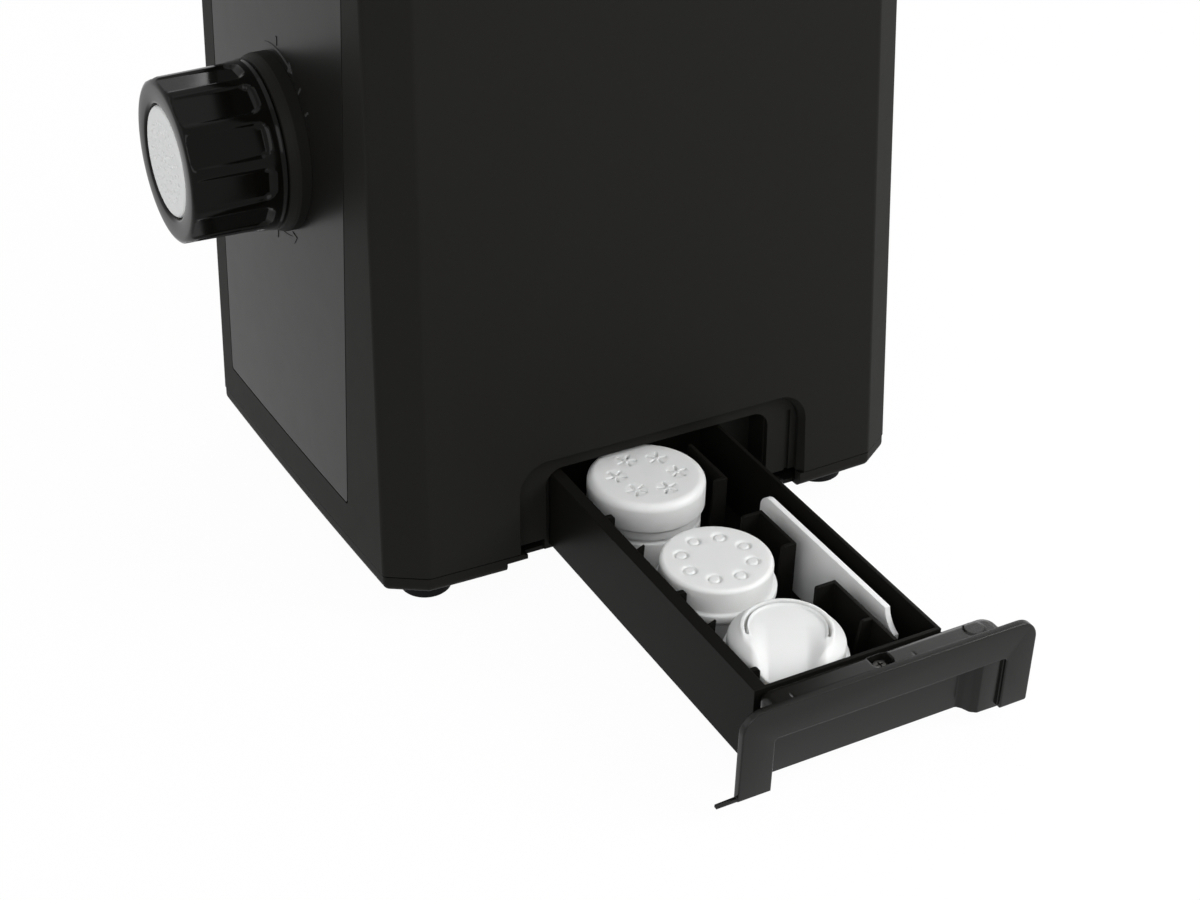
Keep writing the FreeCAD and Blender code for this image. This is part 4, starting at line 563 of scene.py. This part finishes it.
def sheet_relief(x, y, z):
    """A raised C with a slot in it, and a smooth trough that runs down and out through the C's open side."""
    along = x * math.cos(opening_turn) + y * math.sin(opening_turn)
    across = y * math.cos(opening_turn) - x * math.sin(opening_turn)
    radius = math.hypot(x, y)
    bend = abs(math.atan2(across, along))
    height = z
    if z > c_from:
        closed_share = 1.0 - smooth_step((opening_half - bend) / opening_blend + 0.5)
        height += c_rise * (1.0 - smooth_step(abs(radius - c_radius) - c_half)) * closed_share
        past_end = max(slot_end - bend, 0.0) * radius
        height -= pressed(math.hypot(radius - slot_radius, past_end) - slot_half, slot_depth, slot_soft)
    fall = max(along - trough_start, 0.0)
    bed = trough_top - trough_curve * fall * fall
    within = 1.0 - smooth_step((abs(across) - trough_half) / trough_soft)
    share = within * smooth_step((along - trough_fade_start) / trough_fade)
    if bed < height:
        height = max(height - share * (height - bed), trough_lowest)
    return height


def make_dies():
    make_die("ring_die", plain_section, ring_relief, top_from, in_drawer("ring_die"))
    make_die("spaghetti_die", plain_section, spaghetti_relief, top_from, in_nut)
    make_die("sheet_die", sheet_section, sheet_relief, trough_from, in_drawer("sheet_die"))
    make_die("star_die", star_section, star_relief, top_from, in_drawer("star_die"))


# The drawer's front, as it lies when the drawer is level. The corners of the flange and the lug are given
# across, height and rounding, and those of the block behind the finger recess outwards, across and rounding.
front_face_x = 279.8
flange_back_x = 276.8
tray_front_x = 264.05
flange_outline = [(-65.0, 16.0, 0), (-65.0, 56.0, 9.0), (69.2, 56.0, 9.0), (69.2, 16.0, 1.0),
                  (56.0, 16.0, 0.6), (56.0, 41.0, 1.6), (-50.4, 41.0, 1.6), (-50.4, 16.0, 0.6)]
flange_edge = 1.1
recess_outline = [(264.05, -50.5, 0), (264.05, 56.5, 5.4), (278.0, 56.5, 0.1), (277.8, 46.4, 1.2),
                  (276.0, 44.0, 1.6), (272.8, 42.6, 1.2), (271.0, 41.0, 1.6), (271.0, -50.5, 0.1)]
recess_top, recess_low, recess_edge = 41.4, 16.0, 0.5
lug_outline = [(-74.0, 16.0, 0), (-74.0, 17.2, 0.3), (-64.0, 17.6, 0.1), (-64.0, 16.0, 0.1)]
lug_back_x, lug_face_x, lug_edge = flange_back_x + 0.8, front_face_x - 0.6, 0.3
lug_edge_steps = 2
plate_edge_steps = 5
# The shelf along its top, with the screw's well, the little hump and two seams.
shelf_left, shelf_right, shelf_top, shelf_low = -50.5, 56.5, 52.7, 39.6
shelf_overlap = 0.5
shelf_corner = 6.0
shelf_round = 3.6
shelf_grid = 0.34
well_x, well_half_x, well_y, well_half_y = 269.5, 1.6, 2.0, 2.4
well_round, well_depth, well_soft = 1.9, 3.9, 0.7
hump_x, hump_y, hump_radius, hump_rise, hump_soft = 270.2, 45.5, 4.0, 0.38, 0.5
seams, seam_depth, seam_half = (-39.5, 15.6), 0.22, 0.6
seam_start_x, seam_fade = 270.5, 3.0


def across_front(y, z, x):
    """A point of the drawer, given across, up and outwards."""
    return sagged(x, y, z)


def add_plate(mesh, outline, place, start, end, soft_edge, segments=plate_edge_steps):
    """A plate with a rounded outline, from start to end through its thickness, and a soft edge at its end."""
    rim = [mesh.verts.new(place(point.x, point.y, start)) for point in rounded_section(outline)]
    first = mesh.faces.new(rim)
    through = bmesh.ops.extrude_face_region(mesh, geom=[first])
    far_side = [part for part in through["geom"] if isinstance(part, bmesh.types.BMFace)][0]
    step = place(0, 0, end) - place(0, 0, start)
    bmesh.ops.translate(mesh, verts=far_side.verts[:], vec=step)
    bmesh.ops.bevel(mesh, geom=far_side.edges[:], offset=soft_edge * mm, offset_type="OFFSET",
                    segments=segments, profile=0.5, affect="EDGES", clamp_overlap=True, material=-1)


def held_in_plan(x, y):
    """A point of the shelf held inside its rounded plan, and how far it lies into its rounded edge."""
    inside_x = tray_front_x + shelf_corner
    inside_y = min(max(y, shelf_left + shelf_corner), shelf_right - shelf_corner)
    out_x = min(x - inside_x, 0.0)
    out_y = y - inside_y
    away = math.hypot(out_x, out_y)
    if away > shelf_corner:
        x = inside_x + out_x * shelf_corner / away if out_x else x
        y = inside_y + out_y * shelf_corner / away
        away = shelf_corner
    return x, y, max(away - (shelf_corner - shelf_round), 0.0)


def shelf_point(x, y):
    """Where a point of the shelf's top goes: lowered at its edges, the screw's well and the seams."""
    x, y, into_edge = held_in_plan(x, y)
    height = shelf_top - (shelf_round - math.sqrt(max(shelf_round ** 2 - into_edge ** 2, 0.0)))
    from_well = math.hypot(max(abs(x - well_x) - well_half_x, 0.0), max(abs(y - well_y) - well_half_y, 0.0))
    height = min(height, shelf_top - pressed(from_well - well_round, well_depth, well_soft))
    from_hump = math.hypot(x - hump_x, y - hump_y) - hump_radius
    height += hump_rise * (1.0 - smooth_step(from_hump / hump_soft))
    for seam in seams:
        beside = 1.0 - smooth_step(abs(y - seam) / seam_half)
        height -= seam_depth * beside * smooth_step((x - seam_start_x) / seam_fade)
    return x, y, height


def add_shelf(mesh):
    """The rounded bar along the top of the drawer's front, with the screw's well and the little hump."""
    wide = flange_back_x + shelf_overlap - tray_front_x
    long = shelf_right - shelf_left
    top = bmesh.ops.create_grid(mesh, x_segments=round(wide / shelf_grid),
                                y_segments=round(long / shelf_grid), size=0.5)
    for vertex in top["verts"]:
        x = tray_front_x + (vertex.co.x + 0.5) * wide
        y = shelf_left + (vertex.co.y + 0.5) * long
        vertex.co = shelf_point(x, y)
    rim = list({edge for vertex in top["verts"] for edge in vertex.link_edges if edge.is_boundary})
    wall = bmesh.ops.extrude_edge_only(mesh, edges=rim)
    low_verts = [part for part in wall["geom"] if isinstance(part, bmesh.types.BMVert)]
    low_edges = [part for part in wall["geom"] if isinstance(part, bmesh.types.BMEdge) and part.is_boundary]
    for vertex in low_verts:
        vertex.co.z = shelf_low
    bmesh.ops.contextual_create(mesh, geom=low_edges)
    for vertex in top["verts"] + low_verts:
        vertex.co = sagged(*vertex.co)


def make_drawer_front():
    mesh = bmesh.new()
    add_plate(mesh, flange_outline, across_front, flange_back_x, front_face_x, flange_edge)
    add_plate(mesh, recess_outline, sagged, recess_top, recess_low, recess_edge)
    add_plate(mesh, lug_outline, across_front, lug_back_x, lug_face_x, lug_edge, segments=lug_edge_steps)
    add_shelf(mesh)
    piece = new_piece("drawer_front_shell", mesh, "drawer", "drawer_black", fine_weld)
    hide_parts("drawer_front")


# Signs on the buttons: half sizes, and depths counted up from the button's face.
icon_reach = 2.3
icon_bar = 0.35
power_ring_from, power_ring_to, power_ring_step = 125, 415, 10
power_ring_wall = 0.7
power_bar_half, power_bar_middle = 1.0, 1.7
start_corners = ((-1.5, -2.1), (2.2, 0.0), (-1.5, 2.1))
icon_low, icon_top, icon_edge = -0.5, -0.1, 0.06
# Clock figures of the display.
digit_tall = 6.4
digit_wide = 3.4
segment_half = 0.32
segment_gap = 0.12
lit_segments = {"0": "abcdef", "1": "bc", "5": "acdfg"}
figures = (("0", -11.0), ("1", -5.0), ("5", 5.0), ("0", 11.0))
dot_half = 0.4
dot_heights = (-1.4, 1.4)
digit_low, digit_top, digit_edge = -0.02, 0.07, 0.03


def polygon(points):
    """Corners without rounding."""
    return [(x, y, 0) for x, y in points]


def on_top_of(node, x=0.0, y=0.0):
    """Where points counted in mm from a place near the middle of a piece's upper face go."""
    low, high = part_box(node)
    middle = (low + high) / 2
    return lambda u, v, w: Vector((middle.x + (x + u) * mm, middle.y + (y + v) * mm, high.z + w * mm))


def power_outline():
    """A ring that is open at the top."""
    angles = [math.radians(angle) for angle in range(power_ring_from, power_ring_to + 1, power_ring_step)]
    inner = icon_reach - power_ring_wall
    return polygon([(icon_reach * math.cos(a), icon_reach * math.sin(a)) for a in angles]
                   + [(inner * math.cos(a), inner * math.sin(a)) for a in reversed(angles)])


def bar_outline(wide, tall, x=0.0, y=0.0):
    return polygon([(x - wide, y - tall), (x + wide, y - tall), (x + wide, y + tall), (x - wide, y + tall)])


def plus_outline():
    a, b = icon_bar, icon_reach
    return polygon([(-a, -b), (a, -b), (a, -a), (b, -a), (b, a), (a, a),
                    (a, b), (-a, b), (-a, a), (-b, a), (-b, -a), (-a, -a)])


def make_button_icons():
    signs = {"power_button": [power_outline(), bar_outline(icon_bar, power_bar_half, 0.0, power_bar_middle)],
             "start_button": [polygon(start_corners)],
             "less_button": [bar_outline(icon_reach, icon_bar)],
             "more_button": [plus_outline()]}
    for node, outlines in signs.items():
        mesh = bmesh.new()
        for outline in outlines:
            add_plate(mesh, outline, on_top_of(node), icon_low, icon_top, icon_edge, segments=1)
        new_piece(node.replace("button", "icon"), mesh, body_of(node), "mark_grey", sign_weld)


def segment_outline(letter):
    """One of a figure's seven bars, pointed at both ends; a is the top one, and they go round clockwise."""
    half_tall, half_wide, thick = digit_tall / 2, digit_wide / 2, segment_half
    places = {"a": (0, half_tall, False), "d": (0, -half_tall, False), "g": (0, 0, False),
              "b": (half_wide, half_tall / 2, True), "c": (half_wide, -half_tall / 2, True),
              "e": (-half_wide, -half_tall / 2, True), "f": (-half_wide, half_tall / 2, True)}
    x, y, upright = places[letter]
    long = (half_tall / 2 if upright else half_wide) - segment_gap
    flat = [(-long, 0), (-long + thick, -thick), (long - thick, -thick),
            (long, 0), (long - thick, thick), (-long + thick, thick)]
    return polygon([(x - v, y + u) if upright else (x + u, y + v) for u, v in flat])


def make_display_digits():
    mesh = bmesh.new()
    shapes = [(segment_outline(letter), on_top_of("display_window", x))
              for figure, x in figures for letter in lit_segments[figure]]
    shapes += [(bar_outline(dot_half, dot_half), on_top_of("display_window", 0.0, y)) for y in dot_heights]
    for outline, place in shapes:
        add_plate(mesh, outline, place, digit_low, digit_top, digit_edge, segments=1)
    new_piece("display_digits", mesh, body_of("display_window"), "tool_white", sign_weld)


# Light and ground. A lamp has its place, what it is aimed at, its width and height in metres and its watts.
machine = at(0, 0, 170)
lamps = {"overhead": (at(120, 100, 2600), at(100, 0, 60), 2.2, 1.8, 7.0),
         "window_left": (at(-500, -1700, 900), at(100, -50, 100), 1.4, 1.2, 3.5),
         "fill_right": (at(700, 750, 640), machine, 0.6, 0.5, 10.0),
         "fill_back": (at(-1200, 900, 800), machine, 1.2, 0.9, 9.0),
         "photographer_side": (at(1550, -1050, 1000), at(150, 0, 80), 1.6, 1.2, 16.0)}
white = (1, 1, 1, 1)
room_colour, room_strength = (0.97, 0.98, 1.0, 1), 0.45
ground_size = 12.0
ground_colour, ground_roughness, ground_specular = (0.86, 0.86, 0.86, 1), 0.9, 0.1
ground_white_share = 0.97           # the rest is the lit ground, which carries the shadow


def make_lamp(name, place, target, width, height, power):
    lamp_data = bpy.data.lights.new(name, "AREA")
    lamp_data.shape = "RECTANGLE"
    lamp_data.size = width
    lamp_data.size_y = height
    lamp_data.energy = power
    lamp = bpy.data.objects.new(name, lamp_data)
    bpy.context.scene.collection.objects.link(lamp)
    lamp.location = place
    lamp.rotation_euler = (target - place).to_track_quat("-Z", "Y").to_euler()


def looking_rays(tree):
    """1 for rays that look at the background: from the camera, reflected, or through something clear."""
    rays = tree.nodes.new("ShaderNodeLightPath")
    reflected = add_node(tree, "ShaderNodeMath", operation="MAXIMUM")
    tree.links.new(rays.outputs["Is Camera Ray"], reflected.inputs[0])
    tree.links.new(rays.outputs["Is Glossy Ray"], reflected.inputs[1])
    clear = add_node(tree, "ShaderNodeMath", operation="MAXIMUM")
    tree.links.new(reflected.outputs[0], clear.inputs[0])
    tree.links.new(rays.outputs["Is Transmission Ray"], clear.inputs[1])
    return clear.outputs[0]


def mix_by_ray(tree, share, lit, plain_white, output):
    """Shows the plain white in place of the lit shader, by the share that looking rays give."""
    mix = tree.nodes.new("ShaderNodeMixShader")
    tree.links.new(share, mix.inputs["Fac"])
    tree.links.new(lit.outputs[0], mix.inputs[1])
    tree.links.new(plain_white.outputs[0], mix.inputs[2])
    tree.links.new(mix.outputs[0], tree.nodes[output].inputs["Surface"])


def make_ground():
    bpy.ops.mesh.primitive_plane_add(size=ground_size, location=(0, 0, 0))
    ground = bpy.context.object
    ground.name = "ground"
    material = bpy.data.materials.new("pale ground")
    material.use_nodes = True
    tree = material.node_tree
    shader = tree.nodes["Principled BSDF"]
    shader.inputs["Base Color"].default_value = ground_colour
    shader.inputs["Roughness"].default_value = ground_roughness
    shader.inputs["Specular IOR Level"].default_value = ground_specular
    glow = add_node(tree, "ShaderNodeEmission", Color=white, Strength=1.0)
    share = add_node(tree, "ShaderNodeMath", operation="MULTIPLY")
    tree.links.new(looking_rays(tree), share.inputs[0])
    share.inputs[1].default_value = ground_white_share
    mix_by_ray(tree, share.outputs[0], shader, glow, "Material Output")
    ground.data.materials.append(material)


def make_world():
    world = bpy.data.worlds.new("studio")
    bpy.context.scene.world = world
    world.use_nodes = True
    tree = world.node_tree
    room = tree.nodes["Background"]
    room.inputs["Color"].default_value = room_colour
    room.inputs["Strength"].default_value = room_strength
    glow = add_node(tree, "ShaderNodeBackground", Color=white, Strength=1.0)
    mix_by_ray(tree, looking_rays(tree), room, glow, "World Output")


dress_solids()
make_nut()
make_dies()
make_drawer_front()
make_button_icons()
make_display_digits()
make_ground()
make_world()
for lamp_name, lamp_values in lamps.items():
    make_lamp(lamp_name, *lamp_values)
make_camera()
bpy.context.scene.view_settings.view_transform = "Standard"
